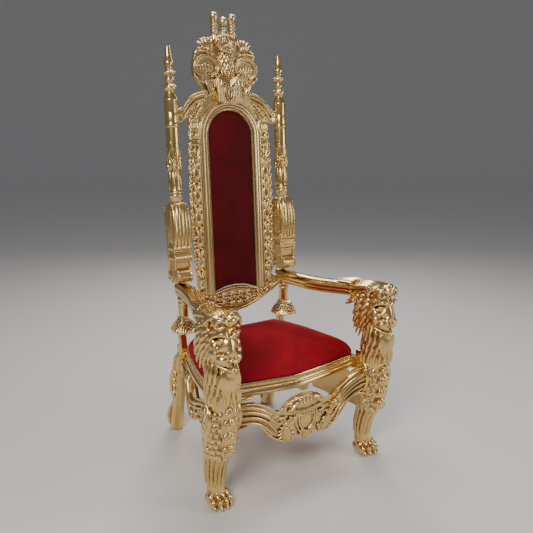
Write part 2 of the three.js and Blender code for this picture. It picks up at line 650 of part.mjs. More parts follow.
// ---- back: pierced lens-shaped bottom rail, tied into the arms
function lowerRail() {
  const half = [
    [0, 675], [54, 669], [FRAME_INNER, FRAME_FOOT], [190, FRAME_FOOT], [196, 700], [ARM_INNER - GAP, 700],
    [ARM_INNER - GAP, 650], [162, 630], [130, 606], [90, 582], [45, 563], [14, 560], [0, 554],
  ];
  const shape = symmetric(half);
  for (const x of [-60, -20, 20, 60]) {
    shape.holes.push(oblongHole(x, 640 - Math.abs(x) * 0.05, 9, 12, 5));
    shape.holes.push(oblongHole(x, 594 + Math.abs(x) * 0.2, 9, 9, 4));
  }
  const parts = [panel(shape, -12, 12)];
  for (const x of [-78, -39, 0, 39, 78]) parts.push(swell([x, -12, 617], [12, 9, 12], [0, 0, 0], 5, 3));
  const low = [-190, -162, -110, -55, 0, 55, 110, 162, 190];
  parts.push(band(low.map((x) => [x, -12, 566 + 76 * (Math.abs(x) / 190) ** 1.5]), 8, 4, 10));
  const ends = block([-400, -100, 500], [GAP - ARM_INNER, 100, 800])
    .add(block([ARM_INNER - GAP, -100, 500], [400, 100, 800]))
    .add(block([FRAME_INNER, -100, FRAME_FOOT], [190, 100, 720]))
    .add(block([-190, -100, FRAME_FOOT], [-FRAME_INNER, 100, 720]));
  return join(parts).subtract(ends);
}

// ---- the throne ---------------------------------------------------------------
addPair(seatGroup, 'front_leg', frontLeg(), gilt);
addPair(seatGroup, 'arm', arm(), gilt);
addPair(seatGroup, 'rear_leg', rearLeg(), gilt);

const grownLegs = rearLeg(GAP).add(mirror(rearLeg(GAP)));
addPair(seatGroup, 'side_rail', sideRail().subtract(grownLegs), gilt);
addPiece(seatGroup, 'front_rail', frontRail(), gilt);
addPiece(seatGroup, 'rear_rail', block([-225, 318, RAIL_BOTTOM], [225, 350, RAIL_BOTTOM + RAIL_HEIGHT])
  .subtract(grownLegs).subtract(sideRail(GAP)).subtract(mirror(sideRail(GAP))), gilt);
addPiece(seatGroup, 'seat_cushion', seatCushion(), velvet);
addPiece(seatGroup, 'front_apron', frontApron(), gilt);
addPair(seatGroup, 'side_apron', sideApron(), gilt);

addPair(backGroup, 'back_column', column(), gilt);
addPair(backGroup, 'back_bracket', bracket(), gilt);
addPiece(backGroup, 'back_frame', backFrame(), gilt);
addPiece(backGroup, 'back_cushion', backCushion(), velvet);
addPiece(backGroup, 'back_board', backBoard(), board);
addPair(backGroup, 'back_strip', strip(), gilt);
addPiece(backGroup, 'yoke_rail', yokeRail(), gilt);
addPiece(backGroup, 'crest', crest(), gilt);
addPiece(backGroup, 'lower_back_rail', lowerRail(), gilt);

export default throne;
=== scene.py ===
import math

import bpy
from mathutils import Matrix, Vector


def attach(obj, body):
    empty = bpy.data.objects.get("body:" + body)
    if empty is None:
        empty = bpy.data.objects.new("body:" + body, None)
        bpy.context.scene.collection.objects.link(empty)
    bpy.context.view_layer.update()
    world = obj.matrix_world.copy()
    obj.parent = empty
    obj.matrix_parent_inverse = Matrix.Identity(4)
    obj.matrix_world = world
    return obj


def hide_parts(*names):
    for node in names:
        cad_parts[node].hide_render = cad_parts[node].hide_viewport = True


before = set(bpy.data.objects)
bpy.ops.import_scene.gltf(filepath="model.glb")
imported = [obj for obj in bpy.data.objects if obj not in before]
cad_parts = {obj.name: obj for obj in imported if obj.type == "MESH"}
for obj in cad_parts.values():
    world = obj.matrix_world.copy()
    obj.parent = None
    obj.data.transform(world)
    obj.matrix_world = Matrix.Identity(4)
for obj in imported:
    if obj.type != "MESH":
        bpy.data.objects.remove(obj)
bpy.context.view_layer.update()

# --- The room -------------------------------------------------------------------
# A pale seamless floor that curves up behind the throne, one large soft light at
# each front corner, a long one overhead and a weak one behind the back.
SET_BACK = 0.088                    # the drawings' zero line stands this far behind the origin

view_from = Vector((-1.2052, -1.8715 - SET_BACK, 1.3055))
view_to = Vector((-0.0329, -SET_BACK, 0.8185))
bpy.ops.object.camera_add(location=view_from)
camera = bpy.context.object
camera.rotation_euler = (view_to - view_from).to_track_quat("-Z", "Y").to_euler()
camera.data.sensor_width = 36
camera.data.lens = 39.39
camera.data.clip_end = 60
bpy.context.scene.camera = camera

bpy.ops.object.select_all(action="DESELECT")
bpy.ops.mesh.primitive_plane_add(size=44)
floor = bpy.context.object
floor.name = "floor"
bpy.ops.object.mode_set(mode="EDIT")
bpy.ops.mesh.select_all(action="DESELECT")
bpy.ops.object.mode_set(mode="OBJECT")
for edge in floor.data.edges:
    edge.select = all(floor.data.vertices[i].co.y > 1 for i in edge.vertices)
bpy.ops.object.mode_set(mode="EDIT")
bpy.ops.mesh.extrude_region_move(TRANSFORM_OT_translate={"value": (0, 0, 22)})
bpy.ops.object.mode_set(mode="OBJECT")
sweep = floor.modifiers.new("sweep", "BEVEL")
sweep.width, sweep.segments, sweep.limit_method = 8, 24, "ANGLE"
bpy.ops.object.shade_smooth()
floor.rotation_euler = (0, 0, -0.56)
bpy.ops.object.transform_apply(location=True, rotation=True, scale=True)
paper = bpy.data.materials.new("studio_paper")
paper.use_nodes = True
paper.node_tree.nodes["Principled BSDF"].inputs["Base Color"].default_value = (0.80, 0.79, 0.77, 1)
paper.node_tree.nodes["Principled BSDF"].inputs["Roughness"].default_value = 0.9
floor.data.materials.append(paper)

for name, place, size, power, tint in (
    ("key", (-2.6, -2.4, 3.0), 1.3, 95, (1.0, 0.95, 0.88)),
    ("fill", (3.0, -2.4, 1.6), 1.6, 38, (0.93, 0.96, 1.0)),
    ("top", (0.2, 0.3, 3.6), 1.6, 40, (1.0, 0.98, 0.95)),
    ("rim", (1.6, 2.6, 2.6), 1.2, 40, (1.0, 0.97, 0.92)),
):
    bpy.ops.object.light_add(type="AREA", location=place)
    lamp = bpy.context.object
    lamp.name = name
    lamp.data.size, lamp.data.energy, lamp.data.color = size, power, tint
    lamp.rotation_euler = (Vector((0, 0, 0.8)) - Vector(place)).to_track_quat("-Z", "Y").to_euler()

world = bpy.data.worlds.new("room")
world.use_nodes = True
world.node_tree.nodes["Background"].inputs["Color"].default_value = (0.30, 0.30, 0.32, 1)
world.node_tree.nodes["Background"].inputs["Strength"].default_value = 0.55
bpy.context.scene.world = world

# --- Front legs: lion heads, scaled knees and clawed feet --------------------------
# Each is one carved post of hardwood, from a four-toed paw through a fluted shin and
# a knee of scales and rosettes to the chest, mane and open-mouthed head of a lion.
# It is gessoed, laid with red bole and gilded, then burnished on the high places.
def mm(*lengths):
    return tuple(length * 0.001 for length in lengths)


def clear_bench(name):
    """A new piece in edit mode, with no faces yet."""
    bpy.ops.object.select_all(action="DESELECT")
    bpy.ops.mesh.primitive_plane_add(size=0.001, location=(0, 0, 0))
    piece = bpy.context.object
    piece.name = piece.data.name = name
    bpy.ops.object.mode_set(mode="EDIT")
    bpy.ops.mesh.select_all(action="SELECT")
    bpy.ops.mesh.delete(type="VERT")
    return piece


def lump(centre, radii, turn=(0, 0, 0), sides=12):
    """A rounded mass of wood, in millimetres and degrees, on the piece in edit mode."""
    bpy.ops.mesh.primitive_uv_sphere_add(
        segments=sides, ring_count=max(6, sides // 2), radius=1, location=mm(*centre),
        rotation=[math.radians(angle) for angle in turn], scale=mm(*radii))


def ring(centre, radius, thick, turn=(0, 0, 0)):
    """A raised rim round a boss."""
    bpy.ops.mesh.primitive_torus_add(
        major_segments=20, minor_segments=8, location=mm(*centre),
        rotation=[math.radians(angle) for angle in turn],
        major_radius=radius * 0.001, minor_radius=thick * 0.001)


def strokes(runs, sides=2, smooth=4):
    """Rounded, tapering strokes of the gouge: each a run of (x, y, z, radius) in millimetres."""
    if bpy.context.mode != "OBJECT":
        bpy.ops.object.mode_set(mode="OBJECT")
    bpy.ops.object.select_all(action="DESELECT")
    bpy.ops.curve.primitive_nurbs_path_add(location=(0, 0, 0))
    lines = bpy.context.object
    lines.data.splines.clear()
    for run in runs:
        spline = lines.data.splines.new("NURBS")
        spline.points.add(len(run) - 1)
        for point, (x, y, z, radius) in zip(spline.points, run):
            point.co = (*mm(x, y, z), 1)
            point.radius = radius
        spline.order_u = min(4, len(run))
        spline.use_endpoint_u = True
        spline.resolution_u = smooth
    lines.data.bevel_depth = 0.001
    lines.data.bevel_resolution = sides
    lines.data.use_fill_caps = True
    bpy.ops.object.convert(target="MESH")
    return bpy.context.object


def fuse(piece, lines, grain, polish=2, keep=0.6):
    """Joins lumps and strokes into one carved skin, eases its tool marks and thins its faces."""
    if bpy.context.mode != "OBJECT":
        bpy.ops.object.mode_set(mode="OBJECT")
    bpy.ops.object.select_all(action="DESELECT")
    for part in (piece, *lines):
        part.select_set(True)
    bpy.context.view_layer.objects.active = piece
    if lines:
        bpy.ops.object.join()
    skin = piece.modifiers.new("skin", "REMESH")
    skin.mode, skin.voxel_size = "VOXEL", grain * 0.001
    bpy.ops.object.modifier_apply(modifier="skin")
    if polish:
        ease = piece.modifiers.new("ease", "SMOOTH")
        ease.factor, ease.iterations = 0.5, polish
        bpy.ops.object.modifier_apply(modifier="ease")
    if keep < 1:
        thin = piece.modifiers.new("thin", "DECIMATE")
        thin.ratio = keep
        bpy.ops.object.modifier_apply(modifier="thin")
    bpy.ops.object.shade_smooth()
    return piece


def stand_on_floor(piece):
    """Moves a seat piece from the drawing's zero line to its place."""
    bpy.ops.object.select_all(action="DESELECT")
    piece.select_set(True)
    bpy.context.view_layer.objects.active = piece
    piece.location = (0, -SET_BACK, 0)
    bpy.ops.object.transform_apply(location=True, rotation=True, scale=True)
    return piece


def left_hand(piece, name):
    """The opposite piece: a copy turned over across the middle plane."""
    bpy.ops.object.select_all(action="DESELECT")
    piece.select_set(True)
    bpy.context.view_layer.objects.active = piece
    bpy.ops.object.duplicate(linked=False)
    other = bpy.context.object
    other.name = other.data.name = name
    other.scale = (-1, 1, 1)
    bpy.ops.object.transform_apply(location=True, rotation=True, scale=True)
    bpy.ops.object.mode_set(mode="EDIT")
    bpy.ops.mesh.select_all(action="SELECT")
    bpy.ops.mesh.normals_make_consistent(inside=False)
    bpy.ops.object.mode_set(mode="OBJECT")
    return other


class Wire:
    """A shader socket that takes part in arithmetic."""

    def __init__(self, tree, socket):
        self.tree, self.socket = tree, socket

    def node(self, kind, settings=(), **inputs):
        made = self.tree.nodes.new(kind)
        for key, value in dict(settings).items():
            setattr(made, key, value)
        for key, value in inputs.items():
            slot = made.inputs[int(key[1:]) if key[0] == "i" and key[1:].isdigit() else key.replace("_", " ")]
            if isinstance(value, Wire):
                self.tree.links.new(value.socket, slot)
            else:
                slot.default_value = value
        return made

    def maths(self, operation, first, second=0.0, clamp=False):
        made = self.node("ShaderNodeMath", {"operation": operation, "use_clamp": clamp}, i0=first, i1=second)
        return Wire(self.tree, made.outputs[0])

    def __add__(self, other):
        return self.maths("ADD", self, other)

    __radd__ = __add__

    def __sub__(self, other):
        return self.maths("SUBTRACT", self, other)

    def __rsub__(self, other):
        return self.maths("SUBTRACT", other, self)

    def __mul__(self, other):
        return self.maths("MULTIPLY", self, other)

    __rmul__ = __mul__

    def __pow__(self, other):
        return self.maths("POWER", self, other)

    def clamped(self):
        return self.maths("ADD", self, 0.0, clamp=True)

    def between(self, low, high):
        """0 below low, 1 above high and a smooth step between them."""
        made = self.node("ShaderNodeMapRange", {"interpolation_type": "SMOOTHSTEP"},
                         Value=self, From_Min=low, From_Max=high)
        return Wire(self.tree, made.outputs[0])

    def blend(self, first, second):
        """The first colour where this mask is 0 and the second where it is 1."""
        made = self.node("ShaderNodeMix", {"data_type": "RGBA"}, i0=self, i6=first, i7=second)
        return Wire(self.tree, made.outputs[2])


def new_finish(name):
    """An empty material: its shader, and a wire to start sums from."""
    finish = bpy.data.materials.new(name)
    finish.use_nodes = True
    tree = finish.node_tree
    shader = tree.nodes["Principled BSDF"]
    return finish, tree, shader, Wire(tree, None)


def noise(wire, scale, detail=3.0, rough=0.5):
    place = wire.node("ShaderNodeTexCoord")
    made = wire.node("ShaderNodeTexNoise", Vector=Wire(wire.tree, place.outputs["Object"]),
                     Scale=scale, Detail=detail, Roughness=rough)
    return Wire(wire.tree, made.outputs[0])


def gold_leaf(name, light=(0.86, 0.60, 0.24, 1), deep=(0.20, 0.055, 0.012, 1), highlight_colour=(0.97, 0.80, 0.48, 1),
              hollow=(0.462, 0.497), crest=(0.515, 0.56), rough=0.26):
    """Burnished leaf over red bole, with painted shade that darkens the hollows to red-brown and a painted highlight
    that pales the convex edges.
    """
    finish, tree, shader, wire = new_finish(name)
    bend = Wire(tree, wire.node("ShaderNodeNewGeometry").outputs["Pointiness"])
    cloudy = noise(wire, 9.0, 4.0, 0.6)
    fine = noise(wire, 140.0, 3.0, 0.6)
    # Painted shade: the concave places found by pointiness, mottled by noise, are darkened towards the deep red-brown,
    # and the same mask roughens them and makes them less metallic.
    hollows = 1 - bend.between(*hollow)
    hollow_shade = (hollows * (0.55 + 0.75 * cloudy)).clamped()
    # Painted highlight: the sharpest convex edges are paled towards a cream gold.
    crest_highlight = bend.between(*crest) * 0.75
    tone = cloudy.between(0.35, 0.7).blend(light, tuple(0.82 * c for c in light[:3]) + (1,))
    colour = hollow_shade.blend(crest_highlight.blend(tone, highlight_colour), deep)
    tree.links.new(colour.socket, shader.inputs["Base Color"])
    tree.links.new((rough + 0.34 * hollow_shade + 0.10 * (cloudy - 0.5)).clamped().socket, shader.inputs["Roughness"])
    tree.links.new((1 - 0.45 * hollow_shade).socket, shader.inputs["Metallic"])
    bump = wire.node("ShaderNodeBump", Strength=0.12, Distance=0.0006, Height=fine + 0.6 * noise(wire, 45.0))
    tree.links.new(bump.outputs[0], shader.inputs["Normal"])
    return finish


def head_and_mane(cx):
    """The lion's head in lumps; its locks, lids and lips are returned as strokes."""
    for centre, radii in (
        ((cx, -188, 652), (58, 62, 74)), ((cx, -240, 686), (42, 34, 34)), ((cx, -262, 640), (33, 34, 38)),
        ((cx, -287, 621), (22, 15, 13)), ((cx, -262, 562), (25, 27, 13)), ((cx, -279, 549), (17, 15, 15)),
        ((cx, -262, 575), (15, 26, 5)), ((cx, -226, 585), (44, 34, 36)), ((cx, -150, 690), (44, 62, 44)),
    ):
        lump(centre, radii, sides=18)
    for side in (-1, 1):
        for (u, y, z), radii in (
            ((22, -274, 600), (26, 25, 20)), ((14, -289, 613), (10, 11, 8)), ((40, -246, 636), (17, 22, 24)),
            ((25, -263, 659), (13, 12, 12)), ((24, -250, 720), (26, 29, 24)), ((50, -214, 716), (12, 12, 20)),
            ((37, -250, 614), (23, 25, 25)), ((12, -290, 581), (3.5, 3.5, 8)), ((18, -283, 582), (3, 3, 6)),
        ):
            lump((cx + side * u, y, z), radii, sides=14)
    runs = [[(cx, -262, 690, 13), (cx, -276, 664, 14), (cx, -284, 640, 15), (cx, -287, 624, 16)],
            [(cx, -296, 612, 5), (cx, -299, 600, 4), (cx, -296, 592, 4)]]
    for s in (-1, 1):
        def run(*points):
            runs.append([(cx + s * u, y, z, r) for u, y, z, r in points])
        run((7, -284, 672, 6), (20, -290, 686, 9), (38, -276, 690, 9), (52, -250, 672, 6), (54, -236, 656, 3))
        run((10, -276, 660, 3), (18, -279, 667, 4), (30, -273, 668, 4), (40, -258, 659, 3))
        run((11, -277, 655, 2.5), (20, -276, 649, 3.5), (31, -270, 650, 3.5), (40, -257, 657, 2.5))
        run((2, -297, 595, 5), (18, -296, 585, 6), (36, -280, 583, 6), (44, -262, 592, 5), (50, -246, 604, 4))
        run((0, -290, 561, 5), (16, -286, 562, 5), (30, -268, 569, 5), (40, -248, 580, 4))
        run((16, -282, 650, 6), (30, -274, 636, 10), (43, -256, 622, 11), (53, -236, 612, 8))
        run((4, -268, 704, 7), (8, -284, 722, 9), (26, -284, 738, 9), (46, -268, 728, 9), (46, -270, 708, 8),
            (32, -282, 704, 7), (24, -288, 714, 5))
        run((3, -252, 726, 7), (12, -262, 740, 8), (34, -256, 744, 8), (56, -236, 734, 8), (64, -224, 712, 6))
        for k in range(9):
            turn = math.radians(16 + 17 * k)
            for depth, reach, thick in ((-244, 55, 9), (-214, 63, 10), (-180, 66, 10)):
                a = turn + (0.14 if depth == -214 else 0)
                u, w = math.sin(a), math.cos(a)
                droop = 10 + 14 * (1 - w)
                run((u * (reach - 14), depth - 6, 652 + w * (reach + 4), thick * 0.6),
                    (u * (reach + 1), depth + 4, 652 + w * (reach + 14) - droop * 0.2, thick),
                    (u * (reach + 4), depth + 22, 650 + w * (reach + 14) - droop, thick * 0.8),
                    (u * (reach - 2), depth + 34, 648 + w * (reach + 6) - droop * 2, 2.5))
        for row, (z, length, out) in enumerate(((560, 60, 52), (522, 62, 55), (482, 60, 57))):
            for k in range(6):
                a = math.radians(8 + 22 * k + (11 if row % 2 else 0))
                u, v = math.sin(a), -math.cos(a)
                run((u * (out - 10), -222 + v * (out - 4), z + 14, 5), (u * out, -222 + v * (out + 6), z - 8, 10),
                    (u * (out + 1) + 3, -222 + v * (out + 6), z - length * 0.6, 8),
                    (u * (out - 3) + 7, -222 + v * (out - 2), z - length, 2.5))
        for u, tip in ((4, 452), (14, 462), (25, 476), (35, 496)):
            run((u * 0.8, -276, 556, 6), (u, -292 + u * 0.4, 534, 9), (u * 1.15, -290 + u * 0.4, 500, 8),
                (u * 0.9 + 4, -284 + u * 0.3, tip, 2.5))
        for k in range(5):
            u = 6 + 11 * k
            wave = 5 if k % 2 else -5
            run((u * 0.9, -236, 734 - 0.10 * u, 7), (u, -206, 746 - 0.22 * u, 9),
                (u + wave, -176, 744 - 0.26 * u, 9), (u - wave, -142, 738 - 0.3 * u, 9), (u * 0.92, -104, 728 - 0.3 * u, 6))
            run((u + 14, -150, 716 - 0.9 * u, 7), (u + 18, -126, 708 - u, 9), (u + 12, -96, 694 - u, 4))
    return runs


def knee_and_foot(cx):
    """The shank in lumps and strokes: flutes, scales, rosettes, side leaf and toes."""
    runs = [[(cx, -166, 16, 38), (cx - 1, -158, 62, 34), (cx, -152, 100, 35), (cx + 1, -160, 150, 38),
             (cx + 2, -180, 205, 44), (cx + 2, -204, 262, 53), (cx, -216, 350, 56), (cx - 2, -220, 420, 52),
             (cx - 3, -226, 490, 50), (cx - 2, -214, 575, 50)]]
    axis = [(84, cx, -152, 35), (120, cx, -154, 36), (160, cx + 1, -162, 39), (200, cx + 2, -178, 43), (222, cx + 2, -188, 47)]
    for k in range(-5, 6):
        a = math.radians(24 * k)
        runs.append([(x + math.sin(a) * r, y - math.cos(a) * r, z, t)
                     for (z, x, y, r), t in zip(axis, (3.5, 5.5, 6, 6, 4))])
    for row in range(8):
        z = 232 + 23 * row
        y0, r = -192 - 0.14 * (z - 222), 50 + 9 * math.sin(math.pi * (z - 200) / 300)
        for k in range(-5, 6):
            a = math.radians(20 * (k + (0.5 if row % 2 else 0)))
            if abs(a) < 0.36:
                continue
            lump((cx + 2 + math.sin(a) * r, y0 - math.cos(a) * r, z), (9.5, 5, 14),
                 (-12, 0, math.degrees(a)), sides=8)
    for z in (252, 304, 356, 404):
        y0, size = -256 - 0.10 * (z - 250), 23 if z < 390 else 17
        lump((cx + 1, y0 - 8, z), (8, 9, 8))
        ring((cx + 1, y0 - 5, z), size - 2, 4, (90, 0, 0))
        for k in range(8):
            a = math.radians(45 * k)
            lump((cx + 1 + 12 * math.sin(a), y0 - 8, z + 12 * math.cos(a)), (5, 6, 8), (0, math.degrees(a), 0), 8)
    for k in range(-4, 5):
        a = math.radians(26 * k)
        lump((cx + 2 + math.sin(a) * 49, -190 - math.cos(a) * 49, 219), (9, 6, 15), (0, 0, math.degrees(a)), 8)
    for s in (-1, 1):
        out = 58
        runs.append([(cx + s * (out - 2), -214, 424, 5), (cx + s * out, -236, 400, 8), (cx + s * (out + 2), -244, 360, 8),
                     (cx + s * (out + 3), -228, 320, 8), (cx + s * out, -206, 286, 8), (cx + s * (out - 6), -196, 250, 6),
                     (cx + s * (out - 8), -208, 234, 4)])
        for k in range(7):
            lump((cx + s * 61, -222 + 12 * math.sin(k * 0.9), 262 + 23 * k), (6, 6.5, 6.5), sides=8)
        for k in range(4):
            z = 282 + 34 * k
            runs.append([(cx + s * 58, -206, z - 10, 4), (cx + s * 60, -190, z, 8), (cx + s * 56, -176, z + 20, 3)])
    for u, y in ((-33, -190), (-11.5, -203), (11.5, -203), (33, -190)):
        lump((cx + u, y, 25), (12, 26, 21), (-12, 0, u * 0.3))
        lump((cx + u, y + 14, 40), (11, 18, 15), (-25, 0, 0))
        lump((cx + u, y - 22, 13), (5, 12, 9), (-25, 0, 0))
        runs.append([(cx + u, y + 22, 52, 5), (cx + u * 0.8, y + 34, 72, 5), (cx + u * 0.6, y + 38, 94, 3)])
    lump((cx, -150, 22), (40, 34, 21), sides=16)
    return runs


leg_right = clear_bench("front_leg_right_carving")
leg_strokes = head_and_mane(350) + knee_and_foot(351)
lump((262, -208, 404), (44, 13, 9))
bpy.ops.mesh.primitive_cube_add(size=1, location=mm(345, -180, 330), scale=mm(56, 90, 250))
bpy.ops.mesh.primitive_cube_add(size=1, location=mm(313, -214, 343), scale=mm(32, 44, 104))
leg_right = fuse(leg_right, [strokes(leg_strokes)], grain=2.3, polish=3, keep=0.38)
bpy.ops.object.mode_set(mode="EDIT")
bpy.ops.mesh.select_all(action="SELECT")
bpy.ops.mesh.bisect(plane_co=(0, 0, 0.0004), plane_no=(0, 0, 1), clear_inner=True, use_fill=True)
bpy.ops.object.mode_set(mode="OBJECT")
stand_on_floor(leg_right)
leg_left = left_hand(leg_right, "front_leg_left_carving")
leg_gold = gold_leaf("gilded_lion")
for leg, side in ((leg_right, "right"), (leg_left, "left")):
    leg.data.materials.append(leg_gold)
    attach(leg, "root")
    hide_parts(f"front_leg_{side}")

# --- Seat rails: bowed front, curved sides, straight back --------------------------
# Four rails tenoned into the legs. The show sides are run with a half round below, a
# cove, and a flat band for two rows of gilt nails over the edge of the velvet.
def moulding(rings):
    """Extrudes a closed section through its stations; points in millimetres, piece in edit mode."""
    import bmesh
    piece = bpy.context.object
    bpy.ops.mesh.select_all(action="DESELECT")
    bpy.ops.mesh.primitive_circle_add(vertices=len(rings[0]), radius=0.01, fill_type="NGON")
    mesh = bmesh.from_edit_mesh(piece.data)
    here = [Vector(mm(*point)) for point in rings[0]]
    end = next(face for face in mesh.faces if face.select)
    for vertex, point in zip(end.verts, here):
        vertex.co = point
    mesh.normal_update()
    bmesh.update_edit_mesh(piece.data)
    for ring_points in rings[1:]:
        bpy.ops.mesh.extrude_region_move(TRANSFORM_OT_translate={"value": (0, 0, 0)})
        mesh = bmesh.from_edit_mesh(piece.data)
        there = [Vector(mm(*point)) for point in ring_points]
        for vertex in [v for v in mesh.verts if v.select]:
            nearest = min(range(len(here)), key=lambda i: (here[i] - vertex.co).length_squared)
            vertex.co = there[nearest]
        mesh.normal_update()
        bmesh.update_edit_mesh(piece.data)
        here = there


def true_up(piece, angle=35):
    """Merges doubles, turns the faces outwards and smooths all but the sharp arrises."""
    bpy.ops.mesh.select_all(action="SELECT")
    bpy.ops.mesh.remove_doubles(threshold=0.00005)
    bpy.ops.mesh.normals_make_consistent(inside=False)
    bpy.ops.object.mode_set(mode="OBJECT")
    bpy.ops.object.select_all(action="DESELECT")
    piece.select_set(True)
    bpy.context.view_layer.objects.active = piece
    bpy.ops.object.shade_smooth_by_angle(angle=math.radians(angle))
    return piece


def side_line(y):
    return 345 - 88 * (max(0, y + 126) / 426) ** 1.6


def front_line(x):
    return -182 + 52 * (abs(x) / 300) ** 1.3


def nail_row(line, pitch, radius, start=0.5):
    """Domed nails at even spacing along a line of points, in millimetres."""
    left = pitch * start
    for first, second in zip(line, line[1:]):
        a, b = Vector(first), Vector(second)
        length = (b - a).length
        while left < length:
            bpy.ops.mesh.primitive_ico_sphere_add(
                subdivisions=1, radius=radius * 0.001, location=mm(*(a + (b - a) * (left / length))))
            left += pitch
        left -= length


RAIL_SECTION = ((44, 0), (7, 0), (2.5, 2), (0.3, 7), (0.3, 13), (3, 18.5), (7, 21), (8, 24), (12, 26),
                (13, 29), (15, 31), (15, 45), (17, 48.5), (44, 48.5))
rail_gold = gold_leaf("gilded_rail", rough=0.24)

side_rail = clear_bench("side_rail_right_moulded")
steps = [-135 + 487 * k / 20 for k in range(21)]
moulding([[(side_line(y) - inset, y, 375 + up) for inset, up in RAIL_SECTION] for y in steps])
nail_row([(side_line(y) - 14.5, y, 411) for y in steps], 10.4, 4.3)
nail_row([(side_line(y) - 15.5, y, 421) for y in steps], 6.2, 2.3)
nail_row([(side_line(y) - 11, y, 401.5) for y in steps], 6.2, 1.7)
side_rail = stand_on_floor(true_up(side_rail))
other_rail = left_hand(side_rail, "side_rail_left_moulded")

front_rail = clear_bench("front_rail_moulded")
steps = [-300 + 20 * k for k in range(31)]
moulding([[(x, front_line(x) + inset, 375 + up) for inset, up in RAIL_SECTION] for x in steps])
nail_row([(x, front_line(x) + 14.5, 411) for x in steps], 10.4, 4.3)
nail_row([(x, front_line(x) + 15.5, 421) for x in steps], 6.2, 2.3)
nail_row([(x, front_line(x) + 11, 401.5) for x in steps], 6.2, 1.7)
front_rail = stand_on_floor(true_up(front_rail))

rear_rail = clear_bench("rear_rail_board")
section = ((318, 375), (347, 375), (350, 378), (350, 420), (347, 424), (318, 424))
moulding([[(x, y, z) for y, z in section] for x in (-200, -100, 0, 100, 200)])
rear_rail = stand_on_floor(true_up(rear_rail))
for rail, node in ((side_rail, "side_rail_right"), (other_rail, "side_rail_left"),
                   (front_rail, "front_rail"), (rear_rail, "rear_rail")):
    rail.data.materials.append(rail_gold)
    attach(rail, "root")
    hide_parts(node)

# --- Rear legs: turned post, fanned capital, square neck and raked foot ----------------
# Each carries an arm's end on a turned post. Under it a capital flares into four
# shells cut with nested arches, then a plain square neck and a leg raked backwards.
rear_leg = clear_bench("rear_leg_right_carving")
post = [[(252, 304, 655, 26), (252, 304, 645, 26)], [(252, 306, 660, 22), (252, 308, 560, 21)],
        [(252, 305, 634, 24), (252, 305, 630, 24)]]
for step in range(9):
    z, grow = 568 - 7 * step, 25 + 23 * (step / 8) ** 1.3
    bpy.ops.mesh.primitive_cube_add(size=1, location=mm(251.5, 304 - 0.4 * step, z), scale=mm(1.72 * grow, 1.72 * grow, 8))
arches = []
for turn in (0, 90, 180, 270):
    facing = Matrix.Rotation(math.radians(turn), 3, "Z")
    for radius, thick in ((33, 3.4), (24, 3.2), (15, 3.2), (6, 4)):
        line = []
        for k in range(9):
            a = math.pi * k / 8
            u, up = radius * math.cos(a) * 1.15, radius * 1.5 * math.sin(a)
            out = 46 - up * 0.40
            spot = facing @ Vector((u, -out, 0))
            line.append((251 + spot.x, 302 + spot.y, 511 + up, thick))
        arches.append(line)
for x, y, z, w, d, h in ((251, 302, 509, 84, 82, 9), (250, 330, 455, 28, 28, 120), (249.5, 345, 405, 29, 30, 60)):
    bpy.ops.mesh.primitive_cube_add(size=1, location=mm(x, y, z), scale=mm(w, d, h), rotation=(-0.14, 0, 0))
foot = [[(250, 356, 392, 17), (250, 363, 362, 26), (249, 375, 300, 30), (247, 402, 150, 30), (246, 428, 60, 30),
         (245, 440, 14, 33)],
        [(250, 338, 398, 3), (250, 334, 372, 12), (250, 340, 330, 14), (250, 352, 290, 10), (250, 362, 262, 3)],
        [(272, 362, 390, 3), (278, 366, 350, 8), (279, 376, 290, 9), (275, 388, 240, 7), (270, 392, 215, 4)],
        [(228, 362, 390, 3), (222, 366, 350, 8), (221, 376, 290, 9), (224, 388, 240, 7), (229, 392, 215, 4)]]
for s in (-1, 1):
    foot.append([(248 + s * 22, 378, 330, 4), (248 + s * 30, 400, 290, 10), (248 + s * 30, 414, 230, 10),
                 (248 + s * 27, 404, 180, 7), (248 + s * 24, 388, 172, 5)])
    foot.append([(246 + s * 24, 420, 140, 4), (246 + s * 30, 444, 100, 9), (246 + s * 31, 460, 60, 10),
                 (246 + s * 28, 448, 26, 8), (246 + s * 26, 430, 30, 6)])
    for k in range(4):
        foot.append([(248 + s * 27, 372 + 8 * k, 318 - 34 * k, 4), (248 + s * 31, 360 + 8 * k, 304 - 34 * k, 6),
                     (248 + s * 27, 352 + 8 * k, 286 - 34 * k, 2.5)])
foot.append([(247, 420, 330, 5), (247, 436, 250, 8), (246, 452, 170, 8), (246, 470, 90, 7), (246, 474, 40, 6)])
lump((245, 444, 16), (31, 36, 20))
rear_leg = fuse(rear_leg, [strokes(post, sides=4), strokes(arches + foot)], grain=2.0, polish=2, keep=0.38)
bpy.ops.object.mode_set(mode="EDIT")
bpy.ops.mesh.select_all(action="SELECT")
bpy.ops.mesh.bisect(plane_co=(0, 0, 0.0004), plane_no=(0, 0, 1), clear_inner=True, use_fill=True)
bpy.ops.object.mode_set(mode="OBJECT")
stand_on_floor(rear_leg)
other_leg = left_hand(rear_leg, "rear_leg_left_carving")
rear_gold = gold_leaf("gilded_post")
for leg, side in ((rear_leg, "right"), (other_leg, "left")):
    leg.data.materials.append(rear_gold)
    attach(leg, "root")
    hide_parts(f"rear_leg_{side}")

# --- Front apron: swags, crown and shield between the knees --------------------------
# A fret-cut board carved in high relief. Two moulded swags fall from the knees to a
# pearled crown, a blank shield with a notched head, shells and a pendant leaf.
def board(outline, front, back):
    """A fret-cut board: an outline in x and z, from front to back."""
    bpy.ops.mesh.select_all(action="DESELECT")
    moulding([[(x, front, z) for x, z in outline], [(x, back, z) for x, z in outline]])


def shift(line, dx=0, dz=0, thick=None):
    return [(x + dx, y, z + dz, thick or r) for x, y, z, r in line]


